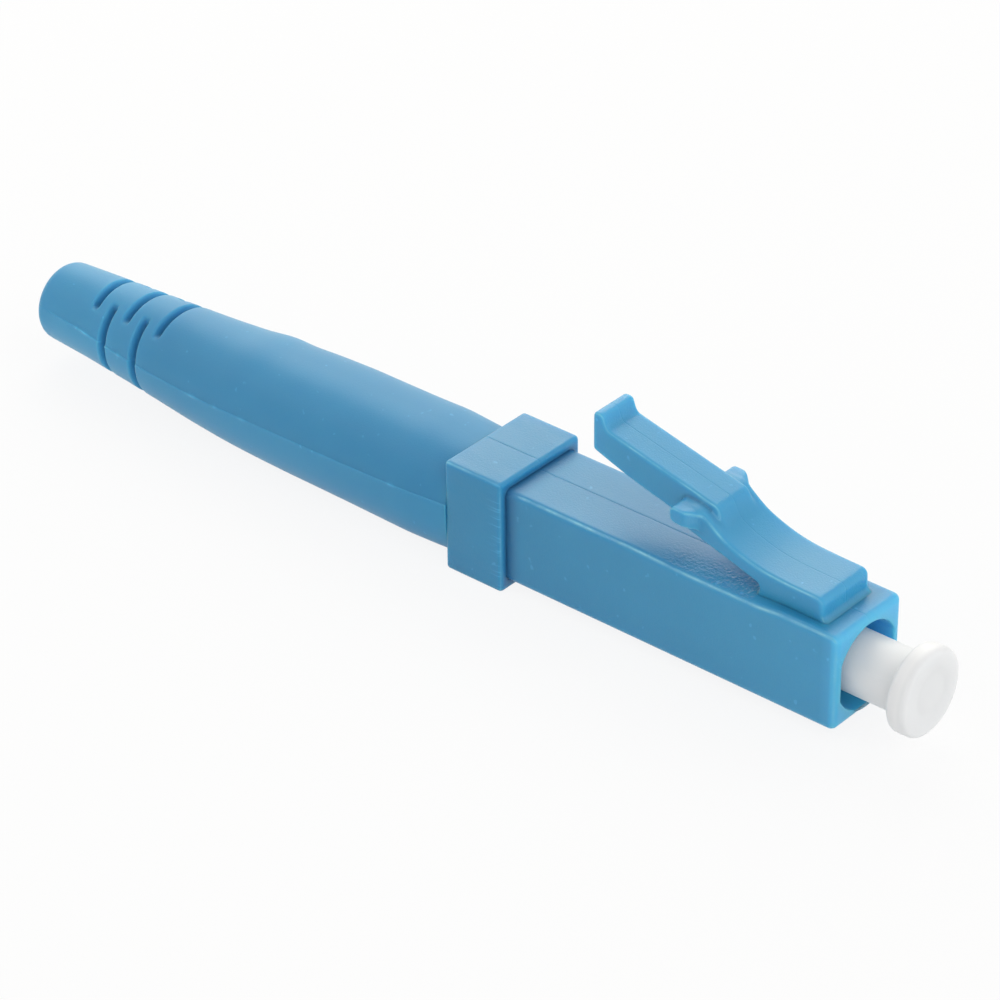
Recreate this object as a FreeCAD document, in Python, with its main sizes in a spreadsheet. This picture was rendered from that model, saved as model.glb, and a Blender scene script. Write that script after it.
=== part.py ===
"""A small-form fibre connector: latched plug housing, sprung ferrule, strain relief boot, dust cap.

Frame: millimetres, +X is the plugging direction, +Z is up, and the origin is the centre of the
collar's flat underside, on which the connector lies.
"""
import FreeCAD, Part
import math
import os
import Sketcher

# Driving dimensions, in millimetres unless the name says otherwise.
SIZES = {
    # Plug body and the collar behind it
    "body_length": 17.2,
    "body_width": 4.4,
    "body_height": 4.5,
    "body_edge": 0.25,
    "collar_length": 2.9,
    "collar_width": 5.2,
    "collar_height": 5.4,
    "collar_edge": 0.22,
    "axis_drop": 0.09,
    # Openings along the ferrule axis
    "mouth_radius": 1.95,
    "mouth_width": 3.52,
    "mouth_depth": 4.6,
    "web_thickness": 1.0,
    "bore_radius": 1.7,
    # Block that the latch grows from
    "root_setback": 1.25,
    "root_flat": 1.3,
    "root_slope": 1.9,
    "root_height": 0.98,
    "root_rise": 0.17,
    "root_edge": 0.22,
    # Latch: its flexing band, ears and thumb plate
    "hinge_height": 0.73,
    "hinge_radius": 0.3,
    "hinge_clearance": 0.03,
    "band_width": 3.12,
    "band_run": 2.15,
    "band_height": 2.0,
    "band_bend": 5.2,
    "shoulder_bend": 2.6,
    "ear_width": 4.1,
    "ear_start": 3.3,
    "ear_length": 0.82,
    "ear_top": 2.69,
    "ear_bottom": 2.03,
    "ear_chamfer": 0.25,
    "ear_edge": 0.14,
    "plate_width": 2.04,
    "plate_start": 2.62,
    "plate_start_height": 2.75,
    "plate_length": 5.5,
    "plate_rise": 1.32,
    "plate_edge": 0.12,
    "step_lean": 0.3,
    "lip_length": 0.8,
    "lip_rise": 0.74,
    "lip_crest": 0.32,
    "lip_round": 0.14,
    "lip_fillet": 0.25,
    "lever_rear_height": 3.07,
    # Ferrule and its holder
    "ferrule_radius": 0.625,
    "ferrule_length": 6.5,
    "ferrule_reach": 1.9,
    "ferrule_chamfer": 0.2,
    "fibre_bore_radius": 0.0625,
    "flange_nose_radius": 0.8,
    "flange_nose_length": 2.6,
    "flange_flats": 2.8,
    "flange_thickness": 1.4,
    "flange_tail_radius": 0.7,
    "flange_tail_length": 2.5,
    "web_clearance": 0.05,
    # Fibre guide tube
    "guide_radius": 0.45,
    "guide_bore_radius": 0.2,
    "guide_length": 8.0,
    # Spring
    "spring_length": 5.0,
    "spring_wire": 0.35,
    "spring_mean_radius": 1.3,
    "spring_turns": 4.0,
    # Spring stop with its crimp post
    "stop_clearance": 0.02,
    "stop_bore_radius": 0.8,
    "stop_flange_radius": 1.95,
    "stop_flange_length": 0.6,
    "post_radius": 1.5,
    "post_length": 4.6,
    "post_grooves": 3,
    "groove_pitch": 1.1,
    "groove_width": 0.35,
    "groove_depth": 0.12,
    # Crimp ring
    "crimp_clearance": 0.04,
    "crimp_wall": 0.35,
    "crimp_gap": 0.1,
    "crimp_step_length": 0.6,
    "crimp_tail_radius": 1.75,
    "crimp_tail_length": 2.4,
    # Boot
    "boot_gap": 0.08,
    "boot_clearance": 0.05,
    "boot_mouth_width": 4.8,
    "boot_mouth_corner": 1.35,
    "boot_shoulder_length": 2.6,
    "boot_shoulder_width": 4.92,
    "boot_shoulder_corner": 1.45,
    "boot_grip_length": 9.6,
    "boot_grip_width": 4.84,
    "boot_grip_corner": 1.56,
    "boot_neck_length": 3.5,
    "boot_neck_width": 4.88,
    "boot_tail_length": 9.87,
    "boot_tail_width": 3.61,
    "boot_tail_flat": 0.12,
    "boot_tail_chamfer": 0.36,
    "cable_radius": 1.1,
    # Flex slots round the boot's tail
    "slot_width": 0.28,
    "slot_depth": 0.55,
    "slot_pitch": 1.03,
    "slot_setback": 3.57,
    "slot_rows": 5,
    "slot_angle_ends": 42.0,
    "slot_angle_sides": 65.0,
    # Dust cap
    "cap_clearance": 0.02,
    "cap_stem_radius": 1.35,
    "cap_stem_length": 4.9,
    "cap_reach": 2.2,
    "cap_tip_gap": 0.2,
    "cap_head_radius": 1.96,
    "cap_head_thickness": 0.95,
    "cap_rear_round": 0.25,
    "cap_front_round": 0.3,
    "cap_dish_radius": 1.0,
    "cap_dish_depth": 0.2,
    "cap_centre_radius": 0.5,
    "cap_centre_depth": 0.06,
}

# Two places closer than this are the same place.
NEAR = 1e-4
# Degrees in half a turn, and the sides of the ferrule holder's flange
HALF_TURN = 180
HEXAGON_SIDES = 6
# Share of a quarter round's radius by which its middle lies inside the corner
MID_ROUND = f"(1 - cos({HALF_TURN / 4}))"

doc = FreeCAD.newDocument("fibre_connector")
sheet = doc.addObject("Spreadsheet::Sheet", "sheet")
for row, (size_name, size_value) in enumerate(SIZES.items(), start=1):
    sheet.set(f"B{row}", str(size_value))
    sheet.setAlias(f"B{row}", size_name)
doc.recompute()

# Places shared by several pieces, as formulas of the driving dimensions
FRONT = "(sheet.collar_length / 2 + sheet.body_length)"
REAR = "(-sheet.collar_length / 2)"
MIDDLE = "(sheet.collar_height / 2)"
AXIS = f"({MIDDLE} - sheet.axis_drop)"
TOP = f"({MIDDLE} + sheet.body_height / 2)"
WEB_FRONT = f"({FRONT} - sheet.mouth_depth)"
WEB_REAR = f"({WEB_FRONT} - sheet.web_thickness)"
FLANGE_REAR = f"({WEB_REAR} - sheet.flange_thickness)"
STOP_FRONT = f"({FLANGE_REAR} - sheet.spring_length)"
FERRULE_TIP = f"({FRONT} + sheet.ferrule_reach)"
FERRULE_END = f"({FERRULE_TIP} - sheet.ferrule_length)"
HINGE_X = f"({FRONT} - sheet.root_setback - sheet.root_flat - sheet.root_slope)"
HINGE_Z = f"({TOP} + sheet.hinge_height)"
LIP_FOOT = f"({HINGE_X} - sheet.plate_start - sheet.plate_length)"
LEVER_REAR = f"({LIP_FOOT} - sheet.lip_length)"
POST_FRONT = f"({REAR} - sheet.stop_flange_length)"
CRIMP_FRONT = f"({POST_FRONT} - sheet.crimp_gap)"
CRIMP_STEP = f"({POST_FRONT} - sheet.post_length - sheet.crimp_gap)"
CRIMP_NECK = f"({CRIMP_STEP} - sheet.crimp_step_length)"
CRIMP_END = f"({CRIMP_NECK} - sheet.crimp_tail_length)"
CRIMP_BORE = "(sheet.post_radius + sheet.crimp_clearance)"
BOOT_MOUTH = f"({REAR} - sheet.boot_gap)"
BOOT_SHOULDER = f"({BOOT_MOUTH} - sheet.boot_shoulder_length)"
BOOT_GRIP = f"({BOOT_SHOULDER} - sheet.boot_grip_length)"
BOOT_NECK = f"({BOOT_GRIP} - sheet.boot_neck_length)"
BOOT_END = f"({BOOT_NECK} - sheet.boot_tail_length)"


def value(expression):
    """Number that a formula gives with the sheet's present sizes."""
    return float(sheet.evalExpression(expression))


def new_body(label):
    body = doc.addObject("PartDesign::Body", label)
    body.Label = label
    return body


def new_sketch(body, name, role, offset=None, lift=None):
    """Empty sketch on one of the body's own planes, moved along its normal or up in its plane."""
    sketch = body.newObject("Sketcher::SketchObject", name)
    plane = next(item for item in body.Origin.OriginFeatures if item.Role == role)
    sketch.AttachmentSupport = [(plane, "")]
    sketch.MapMode = "FlatFace"
    if offset:
        sketch.setExpression("AttachmentOffset.Base.z", offset)
    if lift:
        sketch.setExpression("AttachmentOffset.Base.y", lift)
    return sketch


def bind(sketch, constraint, expression):
    index = sketch.addConstraint(constraint)
    sketch.setExpression(f"Constraints[{index}]", expression)


def place_point(sketch, edge, end, across, up):
    bind(sketch, Sketcher.Constraint("DistanceX", -1, 1, edge, end, value(across)), across)
    bind(sketch, Sketcher.Constraint("DistanceY", -1, 1, edge, end, value(up)), up)


def arc_between(start, end, radius, turn):
    """Arc from start to end; turn is 1 for anticlockwise travel and -1 for clockwise."""
    chord = end - start
    height = math.sqrt(max(radius ** 2 - (chord.Length / 2) ** 2, 0.0))
    side = FreeCAD.Vector(-chord.y, chord.x, 0).normalize() * height * turn
    centre = (start + end) / 2 + side
    first, last = (start, end) if turn > 0 else (end, start)
    angles = [math.atan2(point.y - centre.y, point.x - centre.x) for point in (first, last)]
    circle = Part.Circle(centre, FreeCAD.Vector(0, 0, 1), radius)
    return Part.ArcOfCircle(circle, angles[0], angles[1])


def outline(sketch, corners, bends=None):
    """Closed outline. A bend (radius, turn) rounds the edge that leaves the corner of its index."""
    bends = bends or {}
    points = [FreeCAD.Vector(value(across), value(up), 0) for across, up in corners]
    first_edge = sketch.GeometryCount
    ends = []
    for index, point in enumerate(points):
        following = points[(index + 1) % len(points)]
        if index in bends:
            radius, turn = bends[index]
            edge = sketch.addGeometry(arc_between(point, following, value(radius), turn), False)
            ends.append((1, 2) if turn > 0 else (2, 1))
            bind(sketch, Sketcher.Constraint("Radius", edge, value(radius)), radius)
        else:
            sketch.addGeometry(Part.LineSegment(point, following), False)
            ends.append((1, 2))
    for index, (across, up) in enumerate(corners):
        before = (index - 1) % len(corners)
        joint = (first_edge + before, ends[before][1], first_edge + index, ends[index][0])
        sketch.addConstraint(Sketcher.Constraint("Coincident", *joint))
        place_point(sketch, first_edge + index, ends[index][0], across, up)


def circle(sketch, across, up, radius):
    centre = FreeCAD.Vector(value(across), value(up), 0)
    normal = FreeCAD.Vector(0, 0, 1)
    edge = sketch.addGeometry(Part.Circle(centre, normal, value(radius)), False)
    place_point(sketch, edge, 3, across, up)
    bind(sketch, Sketcher.Constraint("Radius", edge, value(radius)), radius)


def settle(feature):
    """Recompute, and stop at a feature that failed."""
    doc.recompute()
    if "Invalid" in feature.State or feature.Shape.isNull():
        raise RuntimeError(f"{feature.Label} failed")


def extrude(body, kind, name, sketch, length=None, reverse=False, both_ways=False):
    """Pad or Pocket of a sketch, right through without a length. A Pocket has to remove something."""
    before = body.Shape.Volume if body.Tip else 0.0
    feature = body.newObject(f"PartDesign::{kind}", name)
    feature.Profile = sketch
    feature.Reversed = reverse
    if both_ways:
        feature.SideType = "Symmetric"
    if length:
        feature.setExpression("Length", length)
    else:
        feature.Type = "ThroughAll"
    settle(feature)
    if kind == "Pocket" and body.Shape.Volume >= before:
        raise RuntimeError(f"{name} removes nothing")
    return feature


def fillet(body, name, radius, chosen):
    """Round the edges whose bounding boxes the chosen test accepts."""
    tip = body.Tip
    names = []
    for index, edge in enumerate(tip.Shape.Edges, start=1):
        if chosen(edge.BoundBox):
            names.append(f"Edge{index}")
    feature = body.newObject("PartDesign::Fillet", name)
    feature.Base = (tip, names)
    feature.setExpression("Radius", radius)
    settle(feature)
    return feature


def near(first, second):
    return abs(first - second) < NEAR


def crosswise(box, place):
    """True for an edge that runs across the part at a place (x, z)."""
    flat = near(box.XMin, box.XMax) and near(box.ZMin, box.ZMax)
    return flat and near(box.XMin, value(place[0])) and near(box.ZMin, value(place[1]))


def turned(label, corners):
    """Piece turned about the ferrule axis from corners (place along the axis, radius)."""
    body = new_body(label)
    sketch = new_sketch(body, f"{label}_profile", "XZ_Plane", lift=AXIS)
    outline(sketch, corners)
    feature = body.newObject("PartDesign::Revolution", f"{label}_turning")
    feature.Profile = sketch
    feature.ReferenceAxis = (sketch, ["H_Axis"])
    feature.Angle = 2 * HALF_TURN
    settle(feature)
    return body


def rectangle(width, height, centre):
    low = f"{centre} - {height} / 2"
    high = f"{centre} + {height} / 2"
    return [
        (f"-{width} / 2", low),
        (f"{width} / 2", low),
        (f"{width} / 2", high),
        (f"-{width} / 2", high),
    ]


def add_plug_body(body):
    sketch = new_sketch(body, "body_section", "YZ_Plane")
    outline(sketch, rectangle("sheet.body_width", "sheet.body_height", MIDDLE))
    extrude(body, "Pad", "body_block", sketch, FRONT)
    front = value(FRONT)

    def outer_edge(box):
        lengthwise = near(box.XMin, 0) and near(box.XMax, front)
        return lengthwise or near(box.XMin, front)

    fillet(body, "body_edges", "sheet.body_edge", outer_edge)


def add_collar(body):
    sketch = new_sketch(body, "collar_section", "YZ_Plane", offset=REAR)
    outline(sketch, rectangle("sheet.collar_width", "sheet.collar_height", MIDDLE))
    extrude(body, "Pad", "collar_block", sketch, "sheet.collar_length")
    half_width = value("sheet.collar_width / 2")
    height = value("sheet.collar_height")
    rear = value(REAR)

    def outer_edge(box):
        """Edges of the collar's outside, without those of its rear face against the boot."""
        on_side = near(abs(box.YMin), half_width) and near(box.YMin, box.YMax)
        on_level = near(box.ZMin, box.ZMax) and (near(box.ZMin, 0) or near(box.ZMin, height))
        return (on_side or on_level) and not near(box.XMax, rear)

    fillet(body, "collar_edges", "sheet.collar_edge", outer_edge)


def add_latch_root(body):
    front = f"{FRONT} - sheet.root_setback"
    seat = "(sheet.hinge_radius + sheet.hinge_clearance)"
    level = f"{TOP} + sheet.root_height"
    corners = [
        (front, TOP),
        (front, level),
        (f"{front} - sheet.root_flat", level),
        (HINGE_X, f"{level} + sheet.root_rise"),
        (HINGE_X, f"{HINGE_Z} + {seat}"),
        (f"{HINGE_X} + {seat}", HINGE_Z),
        (HINGE_X, f"{HINGE_Z} - {seat}"),
        (HINGE_X, TOP),
    ]
    slope_bend = "(sheet.root_slope ^ 2 + sheet.root_rise ^ 2) / (2 * sheet.root_rise)"
    sketch = new_sketch(body, "root_profile", "XZ_Plane")
    outline(sketch, corners, {2: (slope_bend, -1), 4: (seat, -1), 5: (seat, -1)})
    extrude(body, "Pad", "root_block", sketch, "sheet.band_width", both_ways=True)
    face = value(front)
    top = value(TOP)

    def front_edge(box):
        on_face = near(box.XMin, face) and near(box.XMax, face)
        return on_face and not near(box.ZMax, top)

    fillet(body, "root_edges", "sheet.root_edge", front_edge)


def bore_housing(body):
    half_width = "sheet.mouth_width / 2"
    rise = "sqrt(sheet.mouth_radius ^ 2 - (sheet.mouth_width / 2) ^ 2)"
    corners = [
        (f"-{half_width}", f"{AXIS} - {rise}"),
        (half_width, f"{AXIS} - {rise}"),
        (half_width, f"{AXIS} + {rise}"),
        (f"-{half_width}", f"{AXIS} + {rise}"),
    ]
    mouth = new_sketch(body, "mouth_section", "YZ_Plane", offset=FRONT)
    outline(mouth, corners, {0: ("sheet.mouth_radius", 1), 2: ("sheet.mouth_radius", 1)})
    extrude(body, "Pocket", "mouth", mouth, "sheet.mouth_depth")
    web = new_sketch(body, "web_section", "YZ_Plane", offset=FRONT)
    circle(web, "0", AXIS, "sheet.flange_nose_radius + sheet.web_clearance")
    extrude(body, "Pocket", "web_hole", web, "sheet.mouth_depth + sheet.web_thickness")
    bore = new_sketch(body, "bore_section", "YZ_Plane", offset=REAR)
    circle(bore, "0", AXIS, "sheet.bore_radius")
    extrude(body, "Pocket", "rear_bore", bore, f"{WEB_REAR} - {REAR}", reverse=True)


def make_housing():
    """Plug body, collar and latch root, moulded as one."""
    body = new_body("housing")
    add_plug_body(body)
    add_collar(body)
    add_latch_root(body)
    bore_housing(body)
    return body


def add_band(body):
    """Curved band that flexes, from its rounded end at the root up to the shoulder of the ears."""
    tail_x = f"({HINGE_X} - sheet.ear_start - sheet.ear_length)"
    tangent = f"({HINGE_Z} - sheet.hinge_radius)"
    slope = f"((({TOP} + sheet.lever_rear_height) - {tangent}) / ({HINGE_X} - {LEVER_REAR}))"
    corners = [
        (HINGE_X, f"{HINGE_Z} + sheet.hinge_radius"),
        (f"{HINGE_X} - sheet.band_run", f"{TOP} + sheet.band_height"),
        (f"{HINGE_X} - sheet.ear_start", f"{TOP} + sheet.ear_top"),
        (tail_x, f"{TOP} + sheet.ear_top"),
        (tail_x, f"{tangent} + {slope} * ({HINGE_X} - {tail_x})"),
        (HINGE_X, tangent),
        (f"{HINGE_X} + sheet.hinge_radius", HINGE_Z),
    ]
    bends = {
        0: ("sheet.band_bend", -1),
        1: ("sheet.shoulder_bend", 1),
        5: ("sheet.hinge_radius", 1),
        6: ("sheet.hinge_radius", 1),
    }
    sketch = new_sketch(body, "band_profile", "XZ_Plane")
    outline(sketch, corners, bends)
    extrude(body, "Pad", "band", sketch, "sheet.band_width", both_ways=True)


def add_thumb_plate(body):
    """Sloping thumb plate with its upright lip at the rear."""
    plate_front = f"({HINGE_X} - sheet.plate_start)"
    plate_level = f"({TOP} + sheet.plate_start_height)"
    lip_level = f"({plate_level} + sheet.plate_rise)"
    tangent = f"({HINGE_Z} - sheet.hinge_radius)"
    slope = f"((({TOP} + sheet.lever_rear_height) - {tangent}) / ({HINGE_X} - {LEVER_REAR}))"
    foot = f"({plate_front} + sheet.step_lean)"
    corners = [
        (plate_front, plate_level),
        (LIP_FOOT, lip_level),
        (f"{LEVER_REAR} + sheet.lip_crest", f"{lip_level} + sheet.lip_rise"),
        (LEVER_REAR, f"{lip_level} + sheet.lip_rise"),
        (LEVER_REAR, f"{TOP} + sheet.lever_rear_height"),
        (foot, f"{tangent} + {slope} * ({HINGE_X} - {foot})"),
        (foot, f"{TOP} + sheet.band_height"),
    ]
    sketch = new_sketch(body, "plate_profile", "XZ_Plane")
    outline(sketch, corners)
    extrude(body, "Pad", "thumb_plate", sketch, "sheet.plate_width", both_ways=True)
    half_width = value("sheet.plate_width / 2")
    level = value(plate_level)

    def crest_edge(box):
        return crosswise(box, corners[2]) or crosswise(box, corners[3])

    def foot_edge(box):
        return crosswise(box, corners[1])

    def upper_edge(box):
        on_side = near(box.YMin, box.YMax) and near(abs(box.YMin), half_width)
        return on_side and box.ZMin > level - NEAR

    fillet(body, "lip_crest", "sheet.lip_round", crest_edge)
    fillet(body, "lip_foot", "sheet.lip_fillet", foot_edge)
    fillet(body, "plate_edges", "sheet.plate_edge", upper_edge)


def add_ears(body):
    """Lugs on both sides that catch behind the shoulders of an adapter."""
    front = f"{HINGE_X} - sheet.ear_start"
    rear = f"{HINGE_X} - sheet.ear_start - sheet.ear_length"
    corners = [
        (front, f"{TOP} + sheet.ear_bottom"),
        (front, f"{TOP} + sheet.ear_top"),
        (rear, f"{TOP} + sheet.ear_top"),
        (rear, f"{TOP} + sheet.ear_bottom + sheet.ear_chamfer"),
        (f"{rear} + sheet.ear_chamfer", f"{TOP} + sheet.ear_bottom"),
    ]
    sketch = new_sketch(body, "ear_profile", "XZ_Plane")
    outline(sketch, corners)
    extrude(body, "Pad", "ears", sketch, "sheet.ear_width", both_ways=True)
    half_width = value("sheet.ear_width / 2")

    def outer_edge(box):
        return near(box.YMin, box.YMax) and near(abs(box.YMin), half_width)

    fillet(body, "ear_edges", "sheet.ear_edge", outer_edge)


def make_latch():
    body = new_body("latch_lever")
    add_band(body)
    add_thumb_plate(body)
    add_ears(body)
    return body


def make_ferrule():
    """Ceramic pin with a chamfered tip and a fine bore for the fibre."""
    tip_shoulder = f"{FERRULE_TIP} - sheet.ferrule_chamfer"
    corners = [
        (FERRULE_END, "sheet.fibre_bore_radius"),
        (FERRULE_TIP, "sheet.fibre_bore_radius"),
        (FERRULE_TIP, "sheet.ferrule_radius - sheet.ferrule_chamfer"),
        (tip_shoulder, "sheet.ferrule_radius"),
        (FERRULE_END, "sheet.ferrule_radius"),
    ]
    return turned("ferrule", corners)


def make_flange():
    """Metal holder: nose round the ferrule, hexagonal flange against the web, tail inside the spring."""
    nose_front = f"{WEB_REAR} + sheet.flange_nose_length"
    tail_end = f"{FLANGE_REAR} - sheet.flange_tail_length"
    corners = [
        (tail_end, "sheet.guide_radius"),
        (FERRULE_END, "sheet.guide_radius"),
        (FERRULE_END, "sheet.ferrule_radius"),
        (nose_front, "sheet.ferrule_radius"),
        (nose_front, "sheet.flange_nose_radius"),
        (FLANGE_REAR, "sheet.flange_nose_radius"),
        (FLANGE_REAR, "sheet.flange_tail_radius"),
        (tail_end, "sheet.flange_tail_radius"),
    ]
    body = turned("ferrule_flange", corners)
    corner_radius = f"sheet.flange_flats / 2 / cos({HALF_TURN / HEXAGON_SIDES})"
    hexagon = []
    for side in range(HEXAGON_SIDES):
        angle = 2 * HALF_TURN / HEXAGON_SIDES * side
        across = f"{corner_radius} * cos({angle})"
        up = f"{AXIS} + {corner_radius} * sin({angle})"
        hexagon.append((across, up))
    sketch = new_sketch(body, "flange_section", "YZ_Plane", offset=FLANGE_REAR)
    outline(sketch, hexagon)
    circle(sketch, "0", AXIS, "sheet.flange_nose_radius - sheet.web_clearance")
    extrude(body, "Pad", "hexagon", sketch, "sheet.flange_thickness")
    return body


def make_guide_tube():
    front = FERRULE_END
    rear = f"{FERRULE_END} - sheet.guide_length"
    corners = [
        (rear, "sheet.guide_bore_radius"),
        (front, "sheet.guide_bore_radius"),
        (front, "sheet.guide_radius"),
        (rear, "sheet.guide_radius"),
    ]
    return turned("fibre_guide_tube", corners)


def make_spring():
    """Coil spring of square wire between the hexagonal flange and the spring stop."""
    body = new_body("ferrule_spring")
    start = f"({STOP_FRONT} + sheet.spring_wire / 2)"
    wire = []
    for across, up in ((-1, -1), (1, -1), (1, 1), (-1, 1)):
        place = f"{start} + {across} * sheet.spring_wire / 2"
        radius = f"sheet.spring_mean_radius + {up} * sheet.spring_wire / 2"
        wire.append((place, radius))
    sketch = new_sketch(body, "wire_section", "XZ_Plane", lift=AXIS)
    outline(sketch, wire)
    coil = body.newObject("PartDesign::AdditiveHelix", "coil")
    coil.Profile = sketch
    coil.ReferenceAxis = (sketch, ["H_Axis"])
    coil.Mode = "height-turns-angle"
    coil.setExpression("Height", "sheet.spring_length - sheet.spring_wire")
    coil.setExpression("Turns", "sheet.spring_turns")
    settle(coil)
    return body


def make_spring_stop():
    """Turned rear body: sleeve in the housing, flange on the collar, grooved post for the crimp."""
    post_end = f"({POST_FRONT} - sheet.post_length)"
    sleeve = "sheet.bore_radius - sheet.stop_clearance"
    corners = [
        (post_end, "sheet.stop_bore_radius"),
        (STOP_FRONT, "sheet.stop_bore_radius"),
        (STOP_FRONT, sleeve),
        (REAR, sleeve),
        (REAR, "sheet.stop_flange_radius"),
        (POST_FRONT, "sheet.stop_flange_radius"),
        (POST_FRONT, "sheet.post_radius"),
    ]
    floor = "sheet.post_radius - sheet.groove_depth"
    for groove in range(SIZES["post_grooves"]):
        start = f"{POST_FRONT} - sheet.groove_pitch * {groove + 1}"
        corners.append((start, "sheet.post_radius"))
        corners.append((f"{start} - sheet.groove_width / 2", floor))
        corners.append((f"{start} - sheet.groove_width", "sheet.post_radius"))
    corners.append((post_end, "sheet.post_radius"))
    return turned("spring_stop", corners)


def make_crimp_ring():
    """Stepped sleeve: wide over the post, narrower behind it where a cable is held."""
    outer = f"{CRIMP_BORE} + sheet.crimp_wall"
    tail_bore = "sheet.crimp_tail_radius - sheet.crimp_wall"
    corners = [
        (CRIMP_END, tail_bore),
        (CRIMP_NECK, tail_bore),
        (CRIMP_STEP, CRIMP_BORE),
        (CRIMP_FRONT, CRIMP_BORE),
        (CRIMP_FRONT, outer),
        (CRIMP_STEP, outer),
        (CRIMP_NECK, "sheet.crimp_tail_radius"),
        (CRIMP_END, "sheet.crimp_tail_radius"),
    ]
    return turned("crimp_ring", corners)


def rounded_square(sketch, width, corner):
    """Square of the given width with rounded corners, centred on the ferrule axis."""
    half = f"{width} / 2"
    flat = f"({width} / 2 - {corner})"
    corners = [
        (f"-{flat}", f"{AXIS} - {half}"),
        (flat, f"{AXIS} - {half}"),
        (half, f"{AXIS} - {flat}"),
        (half, f"{AXIS} + {flat}"),
        (flat, f"{AXIS} + {half}"),
        (f"-{flat}", f"{AXIS} + {half}"),
        (f"-{half}", f"{AXIS} + {flat}"),
        (f"-{half}", f"{AXIS} - {flat}"),
    ]
    bends = {index: (corner, 1) for index in (1, 3, 5, 7)}
    outline(sketch, corners, bends)


def add_boot_sleeve(body):
    """Rounded square sleeve behind the collar, then a round tail that tapers to the cable."""
    stations = [
        ("mouth", BOOT_MOUTH, "sheet.boot_mouth_corner"),
        ("shoulder", BOOT_SHOULDER, "sheet.boot_shoulder_corner"),
        ("grip", BOOT_GRIP, "sheet.boot_grip_corner"),
        ("neck", BOOT_NECK, "(sheet.boot_neck_width / 2 - sheet.boot_tail_flat)"),
        ("tail", BOOT_END, "(sheet.boot_tail_width / 2 - sheet.boot_tail_flat)"),
    ]
    sections = []
    for name, place, corner in stations:
        sketch = new_sketch(body, f"boot_{name}_section", "YZ_Plane", offset=place)
        rounded_square(sketch, f"sheet.boot_{name}_width", corner)
        sections.append(sketch)
    sleeve = body.newObject("PartDesign::AdditiveLoft", "boot_sleeve")
    sleeve.Profile = sections[0]
    sleeve.Sections = sections[1:]
    sleeve.Ruled = True
    settle(sleeve)
    end = value(BOOT_END)
    rim = []
    for index, edge in enumerate(sleeve.Shape.Edges, start=1):
        if near(edge.BoundBox.XMax, end):
            rim.append(f"Edge{index}")
    chamfer = body.newObject("PartDesign::Chamfer", "tail_rim")
    chamfer.Base = (sleeve, rim)
    chamfer.setExpression("Size", "sheet.boot_tail_chamfer")
    settle(chamfer)


def bore_boot(body):
    wide = new_sketch(body, "boot_socket_section", "YZ_Plane", offset=BOOT_MOUTH)
    circle(wide, "0", AXIS, "sheet.stop_flange_radius + sheet.boot_clearance")
    extrude(body, "Pocket", "boot_socket", wide, f"{BOOT_MOUTH} - {CRIMP_NECK}")
    narrow = new_sketch(body, "boot_seat_section", "YZ_Plane", offset=BOOT_MOUTH)
    circle(narrow, "0", AXIS, "sheet.crimp_tail_radius + sheet.boot_clearance")
    extrude(body, "Pocket", "boot_seat", narrow, f"{BOOT_MOUTH} - {CRIMP_END} + sheet.boot_clearance")
    cable = new_sketch(body, "cable_section", "YZ_Plane", offset=BOOT_MOUTH)
    circle(cable, "0", AXIS, "sheet.cable_radius")
    extrude(body, "Pocket", "cable_bore", cable)


def slot_corners(inner, outer, half_angle, middle):
    """Corners of a ring sector about the ferrule axis, its middle at the given angle."""
    corners = []
    for radius, angle in (
        (inner, f"{middle} - {half_angle}"),
        (outer, f"{middle} - {half_angle}"),
        (outer, f"{middle} + {half_angle}"),
        (inner, f"{middle} + {half_angle}"),
    ):
        corners.append((f"{radius} * cos({angle})", f"{AXIS} + {radius} * sin({angle})"))
    return corners


def cut_flex_slots(body):
    """Blind slots in rows along the tail, above and below in one row, on both sides in the next."""
    taper = "(sheet.boot_neck_width - sheet.boot_tail_width) / 2 / sheet.boot_tail_length"
    for row_index in range(SIZES["slot_rows"]):
        place = f"({BOOT_END} + sheet.slot_setback + sheet.slot_pitch * {row_index})"
        surface = f"(sheet.boot_tail_width / 2 + ({place} - {BOOT_END}) * {taper})"
        inner = f"({surface} - sheet.slot_depth)"
        outer = f"({surface} + sheet.slot_depth)"
        above = row_index % 2 == 0
        half_angle = "sheet.slot_angle_ends" if above else "sheet.slot_angle_sides"
        sketch = new_sketch(body, f"slot_section_{row_index + 1}", "YZ_Plane", offset=place)
        for middle in ((HALF_TURN / 2, -HALF_TURN / 2) if above else (0, HALF_TURN)):
            corners = slot_corners(inner, outer, half_angle, middle)
            outline(sketch, corners, {1: (outer, 1), 3: (inner, -1)})
        name = f"flex_slot_{row_index + 1}"
        extrude(body, "Pocket", name, sketch, "sheet.slot_width", both_ways=True)


def make_boot():
    """Soft sleeve: rounded square behind the collar, tapering to a round tail with flex slots."""
    body = new_body("strain_relief_boot")
    add_boot_sleeve(body)
    bore_boot(body)
    cut_flex_slots(body)
    return body


def rim_corners(face, inward, rim, radius):
    """Corners of a rim rounded in two flats; inward is the sign of the way from its face along X."""
    return [
        (face, f"({rim} - {radius})"),
        (f"({face} + {inward} * {radius} * {MID_ROUND})", f"({rim} - {radius} * {MID_ROUND})"),
        (f"({face} + {inward} * {radius})", rim),
    ]


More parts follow.
